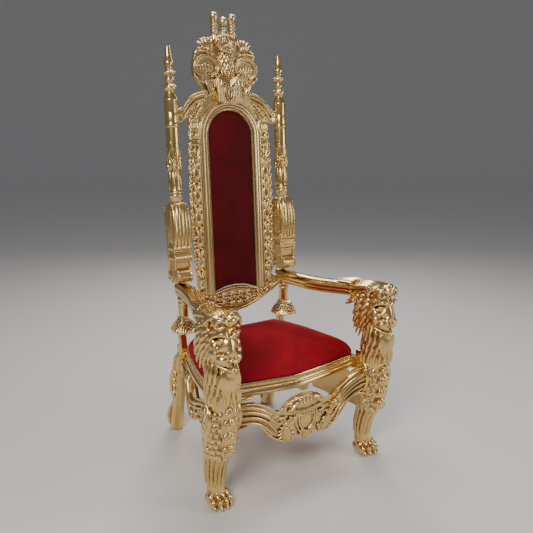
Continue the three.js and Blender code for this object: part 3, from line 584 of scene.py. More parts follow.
def spiral(centre, start, turns, first, last, depth, thick, swing=1, steps=14):
    """A volute that winds in to its eye, in the x and z of the board."""
    line = []
    for k in range(steps + 1):
        t = k / steps
        a = math.radians(start) + swing * 2 * math.pi * turns * t
        r = first + (last - first) * t
        line.append((centre[0] + r * math.cos(a), depth, centre[1] + r * math.sin(a), thick * (1 - 0.45 * t)))
    return line


half = [(40, 361), (68, 351), (88, 335), (104, 320), (126, 326), (153, 348), (187, 366), (216, 381), (250, 387),
        (297, 391), (297, 293), (254, 299), (232, 301), (208, 290), (187, 267), (161, 233), (130, 211), (95, 192),
        (66, 198), (40, 207), (20, 188)]
apron = clear_bench("front_apron_carving")
board([(0, 366)] + half + [(0, 185)] + [(-x, z) for x, z in reversed(half)], -222, -202)
lump((0, -226, 336), (76, 13, 28), sides=24)
lump((0, -228, 266), (29, 9, 36), sides=16)
lump((0, -226, 206), (17, 13, 19))
relief = [[(-82, -232, 322, 5), (-40, -240, 314, 5), (0, -243, 312, 5), (40, -240, 314, 5), (82, -232, 322, 5)],
          [(-78, -230, 311, 3.5), (-40, -238, 304, 3.5), (0, -241, 302, 3.5), (40, -238, 304, 3.5), (78, -230, 311, 3.5)],
          [(-34, -233, 298, 4), (34, -233, 298, 4)], [(-30, -236, 288, 3), (30, -236, 288, 3)]]
for row, (wide, low, high) in enumerate(((70, 322, 340), (60, 330, 351), (46, 336, 360), (28, 342, 364))):
    count = 13 - 2 * row
    for k in range(count):
        a = math.pi * (k + 0.5) / count
        lump((wide * math.cos(a), -236 + 2 * row, low + (high - low) * math.sin(a)), (4.6, 6, 4.6), sides=8)
for k in range(5):
    bpy.ops.mesh.primitive_cube_add(size=1, location=mm(-24 + 12 * k, -236, 293), scale=mm(6, 8, 7))
for s in (-1, 1):
    top = [(292 * s, -226, 382, 8), (250 * s, -227, 377, 8), (208 * s, -228, 362, 8), (168 * s, -230, 336, 8),
           (140 * s, -232, 308, 8), (112 * s, -232, 294, 7), (90 * s, -230, 302, 5)]
    relief += [top, [(x, y - 3, z - 17, 6.5) for x, y, z, r in top[:5]] + [(124 * s, -230, 280, 5), (100 * s, -230, 274, 4)],
               [(x, y, z - 33 - 0.02 * abs(x), 6.5) for x, y, z, r in top[:4]] + [(146 * s, -229, 268, 6), (128 * s, -228, 246, 4)],
               [(x, y, z - 49 - 0.04 * abs(x), 5) for x, y, z, r in top[:3]] + [(176 * s, -227, 282, 5), (150 * s, -227, 244, 4)]]
    relief.append([(s * x, -226, z, 5) for x, z in ((292, 303), (254, 308), (230, 309), (206, 297), (186, 273), (160, 239),
                                                   (130, 217), (100, 200))])
    relief.append([(s * x, -234, z, 4) for x, z in ((35, 298), (37, 270), (30, 244), (14, 226), (0, 220))])
    relief.append([(s * x, -232, z, 3) for x, z in ((46, 300), (48, 268), (40, 238), (26, 216), (10, 206))])
    relief.append(spiral((s * 22, 213), 90 - s * 20, 1.2, 15, 3, -232, 5, swing=s))
    relief.append(spiral((s * 62, 282), 90 - s * 30, 1.3, 17, 3, -232, 6, swing=-s))
    for k in range(7):
        a = math.radians(-74 + 17 * k)
        u, w = math.cos(a), math.sin(a)
        reach = 62 - 3 * abs(k - 3)
        relief.append([(s * (70 + 8 * u), -228, 244 + 8 * w, 5), (s * (70 + reach * 0.55 * u), -236, 244 + reach * 0.55 * w, 8),
                       (s * (70 + reach * 0.9 * u), -230, 240 + reach * 0.85 * w, 5), (s * (70 + reach * u), -226, 238 + reach * 0.9 * w, 2.5)])
    for k in range(4):
        relief.append([(s * (104 + 18 * k), -230, 262 + 12 * k, 6), (s * (96 + 20 * k), -238, 278 + 14 * k, 8),
                       (s * (84 + 22 * k), -234, 286 + 15 * k, 3)])
    for k in range(3):
        relief.append([(s * (56 + 12 * k), -226, 232 - 4 * k, 6), (s * (64 + 15 * k), -234, 214 - 2 * k, 8),
                       (s * (60 + 18 * k), -228, 198 + k, 4)])
    relief.append([(s * 88, -230, 332, 3), (s * 100, -234, 340, 7), (s * 116, -230, 336, 6), (s * 120, -228, 326, 3)])
apron = stand_on_floor(fuse(apron, [strokes(relief)], grain=2.0, polish=2, keep=0.4))
apron_gold = gold_leaf("gilded_apron", light=(0.78, 0.54, 0.22, 1))
apron.data.materials.append(apron_gold)
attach(apron, "root")
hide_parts("front_apron")

# --- Side aprons: one long S scroll on each side ------------------------------------
# Fret cut from a board, each runs back from the knee as three parallel bands, turns
# under in a volute and climbs to the rear leg. A leaf wraps the bend.
side_outline = [(-18, 348), (70, 344), (115, 331), (200, 304), (262, 286), (278, 318), (292, 373), (476, 373),
                (476, 342), (418, 338), (404, 318), (392, 283), (380, 220), (366, 189), (350, 168), (310, 164), (284, 176),
                (276, 204), (300, 226), (292, 246), (262, 250), (240, 208), (180, 210), (92, 206), (-18, 208)]
side_apron = clear_bench("side_apron_right_carving")
board(side_outline, -20, -2)
sweep_line = [(-8, -24, 334, 7), (70, -24, 331, 7), (150, -25, 308, 7), (226, -26, 276, 7), (290, -26, 252, 7),
              (338, -25, 262, 7), (360, -24, 312, 7), (400, -23, 350, 6), (452, -22, 360, 5)]
bands = [sweep_line, shift(sweep_line[:6], 0, -20, 6), shift(sweep_line[:5], -6, -40, 6), shift(sweep_line[:4], -8, -60, 6)]
bands += [[(-6, -24, 222, 6), (80, -24, 220, 6), (170, -24, 222, 6), (236, -24, 222, 6), (262, -24, 240, 5)],
          spiral((322, 196), 60, 1.4, 28, 5, -24, 7, swing=-1), spiral((250, 268), 200, 1.1, 15, 4, -25, 5)]
bands.append([(352, -23, 178, 5), (372, -24, 210, 6), (384, -24, 262, 6), (398, -23, 310, 5), (420, -22, 334, 4)])
for k in range(6):
    bands.append([(30 + 30 * k, -24, 236 + 3 * k, 6), (48 + 30 * k, -29, 262 - k, 8), (40 + 30 * k, -26, 288 - 3 * k, 3)])
for k in range(5):
    bands.append([(296 + 12 * k, -24, 296 + 8 * k, 5), (306 + 14 * k, -28, 320 + 7 * k, 7), (302 + 18 * k, -24, 346 + 3 * k, 3)])
side_apron = fuse(side_apron, [strokes(bands)], grain=2.2, polish=2, keep=0.38)
side_apron.rotation_euler = (0, 0, math.pi / 2 + math.atan2(76, 465))
side_apron.location = mm(314, -135, 0)
bpy.ops.object.transform_apply(location=True, rotation=True, scale=True)
stand_on_floor(side_apron)
other_apron = left_hand(side_apron, "side_apron_left_carving")
for panel, side in ((side_apron, "right"), (other_apron, "left")):
    panel.data.materials.append(apron_gold)
    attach(panel, "root")
    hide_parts(f"side_apron_{side}")

# --- Arms: broad moulded rails that swing out to the lions' napes ---------------------
# Bent pieces with a smooth crowned top, a bead and two flutes down each side, and an
# acanthus leaf laid over the front end where the mane begins.
ARM_SECTION = ((-0.58, 0), (-0.74, 1), (-0.84, 5), (-0.80, 10), (-0.86, 14), (-0.93, 18), (-0.86, 23), (-0.90, 27),
               (-0.99, 32), (-0.99, 38), (-0.93, 43), (-0.84, 49), (-0.58, 53.5), (-0.25, 55), (0.25, 55), (0.58, 53.5),
               (0.84, 49), (0.93, 43), (0.99, 38), (0.99, 32), (0.90, 27), (0.86, 23), (0.93, 18), (0.86, 14),
               (0.80, 10), (0.84, 5), (0.74, 1), (0.58, 0))
arm_run = ((338, 250, 28, 0), (290, 251, 29, 0), (220, 259, 32, 0), (130, 277, 35, 0), (60, 297, 37, 2),
           (-10, 321, 39, 6), (-60, 338, 42, 10), (-100, 348, 45, 13))


def along_arm(y):
    """Centre, half width and lift of the arm at a distance down its length."""
    for (y0, *first), (y1, *second) in zip(arm_run, arm_run[1:]):
        if y >= y1:
            t = (y0 - y) / (y0 - y1)
            return [a + (b - a) * t for a, b in zip(first, second)]
    return arm_run[-1][1:]


stations = [338 - 438 * k / 24 for k in range(25)]
eased = []
for y in stations:
    near = [along_arm(min(338, max(-100, y + step))) for step in (-24, -12, 0, 12, 24)]
    eased.append([sum(values) / 5 for values in zip(*near)])
arm = clear_bench("arm_right_moulded")
moulding([[(x + u * half_width, y, 660 + lift + up) for u, up in ARM_SECTION]
          for y, (x, half_width, lift) in zip(stations, eased)])
bpy.ops.object.mode_set(mode="OBJECT")
leaf = []
for k in range(-3, 4):
    x, half_width, lift = along_arm(-60)
    a = k / 3.4
    u = x + half_width * math.sin(a) * 0.98
    top = 722 + lift - 22 * abs(math.sin(a)) ** 2.5
    leaf.append([(u + 4, -108, top + 4, 10), (u, -70, top + 3, 9), (u - 3 - 2 * k, -34 + 5 * abs(k), top - 2, 6),
                 (u - 8 - 3 * k, -10 + 10 * abs(k), top - 6, 2)])
arm = fuse(arm, [strokes(leaf)], grain=1.8, polish=2, keep=0.4)
stand_on_floor(arm)
other_arm = left_hand(arm, "arm_left_moulded")
arm_gold = gold_leaf("gilded_arm", light=(0.84, 0.58, 0.24, 1), hollow=(0.44, 0.49), rough=0.2)
for piece, side in ((arm, "right"), (other_arm, "left")):
    piece.data.materials.append(arm_gold)
    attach(piece, "root")
    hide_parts(f"arm_{side}")

# --- Seat cushion: velvet over a sprung and stuffed seat -----------------------------
# One crowned cushion is pulled down tight and nailed round the rails. It is inflated
# as cloth from a lower form, with its rim held, so that it crowns as stuffing does.
def as_velvet(name, deep, pile, sheen):
    """Cut pile, brushed unevenly, with a sheen."""
    finish, tree, shader, wire = new_finish(name)
    brushed = noise(wire, 9, 3, 0.55)
    fine = noise(wire, 900, 2, 0.6)
    turned = (0.36 + (brushed - 0.5) * 0.8 + (fine - 0.5) * 0.25).clamped()
    tint = turned.blend(deep, pile)
    tree.links.new(tint.socket, shader.inputs["Base Color"])
    bump = wire.node("ShaderNodeBump", Strength=0.25, Distance=0.0006, Height=fine)
    tree.links.new(bump.outputs[0], shader.inputs["Normal"])
    shader.inputs["Roughness"].default_value = 0.82
    shader.inputs["Sheen Weight"].default_value = sheen
    shader.inputs["Sheen Roughness"].default_value = 0.35
    shader.inputs["Sheen Tint"].default_value = (1.0, 0.12, 0.16, 1)
    shader.inputs["Specular IOR Level"].default_value = 0.2
    return finish


def stuff(piece, held, swell_by, pressure=4.0):
    """Inflates a remeshed cushion as cloth; held is true for the points that are nailed down."""
    bpy.ops.object.mode_set(mode="OBJECT")
    skin = piece.modifiers.new("skin", "REMESH")
    skin.mode, skin.voxel_size = "VOXEL", 0.006
    bpy.ops.object.modifier_apply(modifier="skin")
    nailed = piece.vertex_groups.new(name="nailed")
    nailed.add([v.index for v in piece.data.vertices if held(*v.co)], 1.0, "REPLACE")
    before = [v.co.copy() for v in piece.data.vertices]
    cover = piece.modifiers.new("cover", "CLOTH")
    cover.settings.vertex_group_mass = "nailed"
    cover.settings.use_pressure = True
    cover.settings.uniform_pressure_force = pressure
    cover.settings.tension_stiffness = cover.settings.compression_stiffness = 25
    cover.settings.bending_stiffness = 4
    cover.settings.effector_weights.gravity = 0
    for moment in range(1, 21):
        bpy.context.scene.frame_set(moment)
    bpy.ops.object.modifier_apply(modifier="cover")
    bpy.context.scene.frame_set(1)
    for vertex, was in zip(piece.data.vertices, before):
        moved = vertex.co - was
        if moved.length > swell_by:
            vertex.co = was + moved * (swell_by / moved.length)
    ease = piece.modifiers.new("ease", "SMOOTH")
    ease.factor, ease.iterations = 0.5, 6
    bpy.ops.object.modifier_apply(modifier="ease")
    soft = piece.modifiers.new("soft", "SUBSURF")
    soft.levels = soft.render_levels = 1
    bpy.ops.object.modifier_apply(modifier="soft")
    thin = piece.modifiers.new("thin", "DECIMATE")
    thin.ratio = 0.4
    bpy.ops.object.modifier_apply(modifier="thin")
    bpy.ops.object.shade_smooth()
    return piece


seat_cushion = clear_bench("seat_cushion_velvet")
edge = [(side_line(y) - 15, y) for y in (312, 280, 250, 210, 170, 130, 90, 50, 10, -30, -60, -85, -104)]
edge += [(x, front_line(x) + 15) for x in (300, 265, 230, 190, 150, 110, 70, 35)]
edge = [(x, 312) for x in (0, 60, 120, 180)] + edge
edge += [(0, front_line(0) + 15)] + [(-x, y) for x, y in reversed(edge[1:])]
crown = ((1, 0), (1, 5), (0.985, 26), (0.94, 48), (0.85, 66), (0.7, 78), (0.5, 85), (0.25, 89))
moulding([[(x * s, 90 + (y - 90) * s, 425 + up) for x, y in edge] for s, up in crown])
bpy.ops.mesh.select_all(action="SELECT")
bpy.ops.mesh.normals_make_consistent(inside=False)
stuff(seat_cushion, lambda x, y, z: z < 0.4305, 0.022)
stand_on_floor(seat_cushion)
seat_velvet = as_velvet("seat_velvet", (0.10, 0.001, 0.004, 1), (0.60, 0.006, 0.022, 1), 0.35)
seat_cushion.data.materials.append(seat_velvet)
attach(seat_cushion, "root")
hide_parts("seat_cushion")

# --- Back columns: turned shafts with carved leaves and spired finials -----------------
# Turned on a lathe from the foot to the flat-topped spire. Between the rings the
# shaft is carved with crossed bands, a knot of curled leaves and drooping lance leaves.
RECLINE = math.atan(0.0638)
COLUMN_X = 257


def lean(piece):
    """Sets a back piece, drawn upright on the columns' axis, to the slope of the back."""
    bpy.ops.object.select_all(action="DESELECT")
    piece.select_set(True)
    bpy.context.view_layer.objects.active = piece
    slope = Matrix.Rotation(-RECLINE, 3, "X")
    piece.rotation_euler = (-RECLINE, 0, 0)
    piece.location = Vector((0, 0.3293 - SET_BACK, 1)) - slope @ Vector((0, 0, 1))
    bpy.ops.object.transform_apply(location=True, rotation=True, scale=True)
    return piece


def turning(profile, x, y, steps=48):
    """Spins a half profile of (radius, height) in millimetres round an upright axis."""
    bpy.ops.mesh.select_all(action="DESELECT")
    bpy.ops.mesh.hide(unselected=True)
    bpy.ops.mesh.primitive_plane_add(size=0.001, location=mm(x + profile[0][0], y, profile[0][1]))
    bpy.ops.mesh.merge(type="CENTER")
    for (r0, z0), (r1, z1) in zip(profile, profile[1:]):
        bpy.ops.mesh.extrude_region_move(TRANSFORM_OT_translate={"value": mm(r1 - r0, 0, z1 - z0)})
    bpy.ops.mesh.select_all(action="SELECT")
    bpy.ops.mesh.spin(steps=steps, angle=2 * math.pi, center=mm(x, y, 0), axis=(0, 0, 1))
    bpy.ops.mesh.select_all(action="SELECT")
    bpy.ops.mesh.remove_doubles(threshold=0.00003)
    bpy.ops.mesh.normals_make_consistent(inside=False)
    bpy.ops.mesh.reveal(select=False)


def round_the_shaft(angle, reach, z, thick):
    a = math.radians(angle)
    return (COLUMN_X + reach * math.sin(a), -reach * math.cos(a), z, thick)


shaft = ((0, 1048.3), (24.5, 1048.3), (24.5, 1072), (27, 1074), (28, 1078), (27, 1082), (24.5, 1084), (27, 1087),
         (28, 1090), (26, 1093), (24, 1095), (24, 1102), (22, 1110), (23, 1140), (21.5, 1172), (23, 1200), (22, 1232),
         (25, 1262), (26, 1292), (26, 1342), (26, 1346), (28, 1349), (28.8, 1355), (28, 1361), (26, 1364), (26.3, 1366),
         (26.3, 1402), (25.6, 1404), (26.3, 1406), (26.3, 1447), (27.6, 1450), (27.6, 1455), (25.5, 1458), (24.5, 1464),
         (18, 1478), (17.5, 1484), (21, 1489), (25.5, 1494), (27, 1499), (26, 1504), (21.5, 1509), (15, 1514),
         (14, 1518), (18, 1523), (19.5, 1529), (18, 1535), (14, 1539), (13.5, 1544), (17, 1549), (25, 1553),
         (26, 1556), (25, 1559), (18, 1562), (13.5, 1566), (12.5, 1571), (15.5, 1580), (18.5, 1588), (19, 1594),
         (17, 1602), (13.5, 1609), (12, 1622), (10.5, 1640), (9.5, 1654), (8.5, 1657.5), (0, 1658))
column = clear_bench("back_column_right_leaves")
leaves = []
for face in range(4):
    middle = 90 * face
    for k in range(3):
        drop = 11 * k
        leaves += [[round_the_shaft(middle + s * 46, 24, 1292 - drop, 3.6), round_the_shaft(middle + s * 24, 26, 1268 - drop, 4.2),
                    round_the_shaft(middle + s * 2, 25, 1246 - drop, 3.6)] for s in (-1, 1)]
    for s in (-1, 1):
        leaves.append([round_the_shaft(middle + s * 4, 22, 1228, 5), round_the_shaft(middle + s * 28, 27, 1221, 6.5),
                       round_the_shaft(middle + s * 40, 27, 1202, 6.5), round_the_shaft(middle + s * 26, 26, 1184, 5.5),
                       round_the_shaft(middle + s * 6, 24, 1178, 4)])
        leaves.append([round_the_shaft(middle + s * 4, 23, 1216, 4), round_the_shaft(middle + s * 18, 26, 1208, 4.5),
                       round_the_shaft(middle + s * 20, 26, 1196, 4), round_the_shaft(middle + s * 6, 24, 1192, 3)])
    for turn in (0, 45):
        a = middle + turn
        for s in (-1, 0, 1):
            leaves.append([round_the_shaft(a + s * 5, 20, 1178 - turn * 0.2, 4), round_the_shaft(a + s * 12, 23.5, 1152 - turn * 0.2, 5.5),
                           round_the_shaft(a + s * 9, 25, 1130 - turn * 0.2, 4.5), round_the_shaft(a, 25, 1102 - turn * 0.1, 2)])
lump((COLUMN_X, 0, 1200), (23, 23, 104), sides=24)
column = fuse(column, [strokes(leaves)], grain=1.3, polish=1, keep=0.35)
bpy.ops.object.mode_set(mode="EDIT")
turning(shaft, COLUMN_X, 0)
column = lean(true_up(column, 60))
other_column = left_hand(column, "back_column_left_leaves")
column_gold = gold_leaf("gilded_column", light=(0.80, 0.56, 0.22, 1), hollow=(0.44, 0.49), rough=0.22)
for piece, side in ((column, "right"), (other_column, "left")):
    piece.data.materials.append(column_gold)
    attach(piece, "root")
    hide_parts(f"back_column_{side}")

# --- Consoles: gadrooned blocks that carry the columns ---------------------------------
# Solid blocks screwed down on the arms. Plump leaves spread from the column's foot and
# hang over two ribbed bands, above a plain face that ends in a volute.
console = clear_bench("back_bracket_right_carving")
side = ((34, 985), (38, 1020), (28, 1036), (14, 1043), (-24, 1043), (-36, 1026), (-38, 880), (-34, 862), (-33, 824),
        (-28, 800), (-22, 776), (-26, 745), (-18, 722), (14, 716), (28, 735), (34, 760), (32, 830), (32, 940))
moulding([[(x, y, z) for y, z in side] for x in (COLUMN_X - 36, COLUMN_X + 36)])
swags = []
for lane in (-30, -15, 0, 15, 30):
    reach = 1 - abs(lane) / 110
    swags.append([(COLUMN_X + lane * 0.5, -18, 1050, 6), (COLUMN_X + lane * 0.9, -34 * reach - 4, 1030, 9),
                  (COLUMN_X + lane, -41, 985, 9.5), (COLUMN_X + lane, -43, 920, 8.5), (COLUMN_X + lane, -41, 884, 7),
                  (COLUMN_X + lane, -38, 868, 4)])
for s in (-1, 1):
    for lane in (-22, -6, 10, 26):
        swags.append([(COLUMN_X + s * 18, lane * 0.5, 1050, 6), (COLUMN_X + s * 34, lane * 0.9, 1030, 8),
                      (COLUMN_X + s * 39, lane, 985, 9), (COLUMN_X + s * 38, lane, 930, 7), (COLUMN_X + s * 36, lane - 4, 892, 4)])
    swags.append([(COLUMN_X + s * 37, 36, 1012, 5), (COLUMN_X + s * 38, 24, 960, 6), (COLUMN_X + s * 38, 16, 880, 6),
                  (COLUMN_X + s * 38, 20, 800, 6), (COLUMN_X + s * 38, 32, 752, 5)])
    for y, z in ((26, 1020), (20, 747)):
        ring((COLUMN_X + s * 37, y, z), 14, 4.5, (0, 90, 0))
        lump((COLUMN_X + s * 37, y, z), (9, 6, 6))
for z in (866, 826):
    swags.append([(COLUMN_X - 40, -36, z + 13, 3.2), (COLUMN_X + 40, -36, z + 13, 3.2)])
    swags.append([(COLUMN_X - 40, -36, z - 13, 3.2), (COLUMN_X + 40, -36, z - 13, 3.2)])
    for k in range(9):
        lump((COLUMN_X - 36 + 9 * k, -39, z), (4.2, 7, 9.5), sides=8)
    for s in (-1, 1):
        for k in range(5):
            lump((COLUMN_X + s * 37, -30 + 10 * k, z), (6, 4.4, 9.5), sides=8)
for radius in (27, 19, 11):
    for s in (-1, 1):
        ring((COLUMN_X + s * 30, -24, 750), radius, 3.4, (0, 90, 0))
bpy.ops.mesh.primitive_cylinder_add(vertices=40, radius=0.027, depth=0.066, location=mm(COLUMN_X, -24, 750),
                                    rotation=(0, math.pi / 2, 0))
for s in (-1, 1):
    swags.append([(COLUMN_X + s * 33, -36, 812, 4), (COLUMN_X + s * 33, -30, 790, 4), (COLUMN_X + s * 33, -30, 776, 4)])
console = fuse(console, [strokes(swags)], grain=2.0, polish=2, keep=0.4)
lean(console)
bpy.ops.object.mode_set(mode="EDIT")
for level, keep_above in ((0.7157, True), (1.0475, False)):
    bpy.ops.mesh.select_all(action="SELECT")
    tilt = (0, 0, 1) if keep_above else (0, math.sin(RECLINE), math.cos(RECLINE))
    spot = (0, 0, level) if keep_above else (0, 0.3293 - SET_BACK + 0.003, level)
    bpy.ops.mesh.bisect(plane_co=spot, plane_no=tilt, clear_inner=keep_above, clear_outer=not keep_above, use_fill=True)
bpy.ops.object.mode_set(mode="OBJECT")
other_console = left_hand(console, "back_bracket_left_carving")
console_gold = gold_leaf("gilded_console")
for piece, side_name in ((console, "right"), (other_console, "left")):
    piece.data.materials.append(console_gold)
    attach(piece, "root")
    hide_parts(f"back_bracket_{side_name}")

# --- Arched frame: stepped moulding round the velvet of the back -------------------------
# Lengths of one stepped moulding meet a bent arch. A corded gimp is glued round the
# inner edge to hide the tacks of the velvet.
FRAME_STEPS = ((0, 18), (0, -5), (2, -8), (5, -9), (7, -8), (8, -11), (10, -14), (13, -15.5), (16, -15), (17, -14),
               (19, -16.5), (22, -17.2), (26, -16.5), (28, -14), (29, -12), (31, -13.5), (33, -12.5), (34, -9),
               (36, -8), (37, -6), (37, 18))
back_frame = clear_bench("back_frame_moulded")
route = [(0, z, 0) for z in range(651, 1316, 83)] + [(0, 1315, 180 * k / 32) for k in range(1, 32)]
route += [(0, z, 180) for z in range(1315, 650, -83)]
moulding([[((107 + out) * math.cos(math.radians(turn)), y, z + (107 + out) * math.sin(math.radians(turn)))
           for out, y in FRAME_STEPS] for x, z, turn in route])
gimp = [(math.radians(turn), 105.5 * math.cos(math.radians(turn)), z + 105.5 * math.sin(math.radians(turn)))
        for x, z, turn in route]
left = 0
for (a0, x0, z0), (a1, x1, z1) in zip(gimp, gimp[1:]):
    length = math.hypot(x1 - x0, z1 - z0)
    while length and left < length:
        t = left / length
        bpy.ops.mesh.primitive_ico_sphere_add(
            subdivisions=1, radius=1, location=mm(x0 + (x1 - x0) * t, -9.5, z0 + (z1 - z0) * t),
            rotation=(0, -(a0 + (a1 - a0) * t) + 0.45, 0), scale=mm(4.4, 2.6, 2.0))
        left += 5.6
    left -= length
back_frame = lean(true_up(back_frame, 30))
frame_gold = gold_leaf("gilded_frame", light=(0.76, 0.53, 0.22, 1), rough=0.3)
back_frame.data.materials.append(frame_gold)
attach(back_frame, "root")
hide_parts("back_frame")

# --- Back cushion: thin velvet pad in the arch ------------------------------------------
# Velvet stretched over a thin wadding on the board behind, inflated as cloth with the
# rim held where it is tacked.
back_cushion = clear_bench("back_cushion_velvet")
edge = [(0, 678), (54, 672), (105.5, 653), (105.5, 740), (105.5, 830), (105.5, 920), (105.5, 1010), (105.5, 1100),
        (105.5, 1200)]
edge += [(105.5 * math.cos(math.pi * k / 20), 1315 + 105.5 * math.sin(math.pi * k / 20)) for k in range(10)]
edge += [(0, 1420.5)] + [(-x, z) for x, z in reversed(edge[1:])]
moulding([[(x * s, y, 1040 + (z - 1040) * (1 - (1 - s) * 0.4)) for x, z in edge]
          for s, y in ((1, 5.5), (1, -3), (0.93, -6), (0.6, -7.5), (0.3, -8))])
bpy.ops.mesh.select_all(action="SELECT")
bpy.ops.mesh.normals_make_consistent(inside=False)
stuff(back_cushion, lambda x, y, z: y > 0.0025 or max(abs(x), math.hypot(x, max(0, z - 1.315))) > 0.102, 0.008, 2.5)
lean(back_cushion)
# Painted shade: the same velvet as the seat's, with both its tones made several times darker for the upright back.
shaded_back_velvet = as_velvet("shaded_back_velvet", (0.030, 0.0006, 0.0012, 1), (0.17, 0.002, 0.006, 1), 0.12)
back_cushion.data.materials.append(shaded_back_velvet)
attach(back_cushion, "root")
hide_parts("back_cushion")

# --- Back board: plain panel behind the cushion --------------------------------------------
# A thin board let into the frame from behind and painted a dull gold, with a shallow
# sunk field; it faces the wall, so it isn't carved.
back_board = clear_bench("back_board_panel")
rim = [(0, 676), (54, 670), (106.5, 651), (106.5, 1200)]
rim += [(106.5 * math.cos(math.pi * k / 20), 1315 + 106.5 * math.sin(math.pi * k / 20)) for k in range(10)]
rim += [(0, 1421.5)] + [(-x, z) for x, z in reversed(rim[1:])]
moulding([[(x * s, y, 1040 + (z - 1040) * (1 - (1 - s) * 0.3)) for x, z in rim]
          for s, y in ((1, 6.5), (1, 14.5), (0.985, 16), (0.86, 16), (0.84, 13.5))])
back_board = lean(true_up(back_board))
dull_gold, tree, shader, wire = new_finish("dull_gold_paint")
streaks = noise(wire, 14, 5, 0.6)
tint = streaks.clamped().blend((0.26, 0.16, 0.055, 1), (0.42, 0.28, 0.10, 1))
tree.links.new(tint.socket, shader.inputs["Base Color"])
shader.inputs["Metallic"].default_value = 0.45
shader.inputs["Roughness"].default_value = 0.5
back_board.data.materials.append(dull_gold)
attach(back_board, "root")
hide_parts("back_board")

# --- Carved strips beside the arch --------------------------------------------------------
# Each strip is fret cut with C scrolls on its outer edge and glued to the frame. From
# the top come a boss, two banded panels of leaves, and pierced scrolls down to the arm.
def pierce(piece, cuts):
    """Saws lens-shaped holes through a board: each (x, z, half width, half height)."""
    bpy.ops.object.mode_set(mode="OBJECT")
    saw = clear_bench("fret_saw")
    for x, z, wide, high in cuts:
        bpy.ops.mesh.primitive_cylinder_add(vertices=16, radius=1, depth=1, location=mm(x, 0, z),
                                            rotation=(math.pi / 2, 0, 0), scale=mm(wide, high, 120))
    bpy.ops.object.mode_set(mode="OBJECT")
    bpy.ops.object.select_all(action="DESELECT")
    piece.select_set(True)
    bpy.context.view_layer.objects.active = piece
    holes = piece.modifiers.new("holes", "BOOLEAN")
    holes.object, holes.operation = saw, "DIFFERENCE"
    bpy.ops.object.modifier_apply(modifier="holes")
    bpy.data.objects.remove(saw)
    bpy.ops.object.mode_set(mode="EDIT")


def flat_spiral(x, z, start, turns, first, last, depth, thick, swing=1):
    return spiral((x, z), start, turns, first, last, depth, thick, swing)


strip_low, strip_inner, strip_top = 651, 144.5, 1384.5
outer = []
for k in range(1, 43):
    z = strip_low + 17 * k
    reach = 178 + 18 * math.sin(math.pi * min(1, (z - strip_low) / 760)) ** 0.8
    outer.append((reach - 7 + (3 if k % 4 in (1, 2) else -4), z))
strip = clear_bench("back_strip_right_carving")
board([(strip_inner, strip_low), (180, strip_low)] + outer + [(184, strip_top), (strip_inner, strip_top)], -6, 11)
bpy.ops.mesh.select_all(action="SELECT")
bpy.ops.mesh.normals_make_consistent(inside=False)
pierce(strip, [(strip_inner + 22, z, 8, 22) for z in range(704, 1180, 92)])
work = [[(strip_inner + 3, -9, strip_low + 4, 3.5), (strip_inner + 3, -9, strip_top - 4, 3.5)]]
for k, z in enumerate(range(668, 1376, 34)):
    reach = 176 + 18 * math.sin(math.pi * min(1, (z - strip_low) / 760)) ** 0.8
    work.append([(reach - 5, -8, z - 17, 4), (reach + 3, -9, z - 9, 5), (reach + 5, -9, z + 2, 5), (reach - 1, -9, z + 10, 4.5),
                 (reach - 6, -9, z + 4, 3)])
    if k % 2:
        ring((reach - 1, -6, z + 12), 5, 2.6, (90, 0, 0))
for z in range(704, 1180, 92):
    x = strip_inner + 22
    for s in (-1, 1):
        work.append([(x + s * 10, -8, z - 26, 4), (x + s * 13, -10, z - 8, 5), (x + s * 11, -10, z + 12, 5), (x + s * 3, -9, z + 26, 3.5)])
    work.append(flat_spiral(x, z + 46, -60, 1.3, 16, 3, -11, 5.5, 1))
    work.append(flat_spiral(x + 2, z + 30, 120, 1.0, 10, 3, -12, 4, -1))
    for s in (-1, 0, 1):
        work.append([(x + s * 4, -10, z + 14, 3), (x + s * 9, -14, z + 30, 6), (x + s * 13, -12, z + 44, 3)])
        work.append([(x + s * 3, -9, z - 34, 3), (x + s * 6, -13, z - 22, 5), (x + s * 8, -10, z - 12, 2.5)])
for z in (1196, 1280):
    for step, thick in ((-7, 2.6), (0, 4), (7, 2.6)):
        work.append([(strip_inner + 2, -10, z + step, thick), (strip_inner + 38, -10, z + step, thick)])
for z in (1238,):
    for sx, sz in ((-1, 1), (1, 1), (-1, -1), (1, -1)):
        for k in range(3):
            work.append([(strip_inner + 20, -9, z + sz * (28 - 9 * k), 3), (strip_inner + 20 + sx * (8 - 2 * k), -12, z + sz * (20 - 8 * k), 4),
                         (strip_inner + 20 + sx * (17 - 3 * k), -9, z + sz * (6 - 3 * k), 3)])
lump((strip_inner + 21, -8, 1318), (15, 8, 15), sides=16)
ring((strip_inner + 21, -9, 1318), 16, 3.6, (90, 0, 0))
for k in range(-2, 3):
    work.append([(strip_inner + 21 + 5 * k, -8, 1336, 4), (strip_inner + 21 + 7 * k, -12, 1354, 5), (strip_inner + 21 + 8 * k, -9, 1376, 3)])
strip = fuse(strip, [strokes(work)], grain=1.7, polish=1, keep=0.42)
bpy.ops.object.mode_set(mode="EDIT")
for spot, way in (((0.1443, 0, 0), (1, 0, 0)), ((0, 0, 0.6505), (0, 0, 1)), ((0, 0, 1.3849), (0, 0, -1))):
    bpy.ops.mesh.select_all(action="SELECT")
    bpy.ops.mesh.bisect(plane_co=spot, plane_no=way, clear_inner=True, use_fill=True)
bpy.ops.object.mode_set(mode="OBJECT")
lean(strip)
other_strip = left_hand(strip, "back_strip_left_carving")
strip_gold = gold_leaf("gilded_strip")
for piece, side_name in ((strip, "right"), (other_strip, "left")):
    piece.data.materials.append(strip_gold)
    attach(piece, "root")
    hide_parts(f"back_strip_{side_name}")

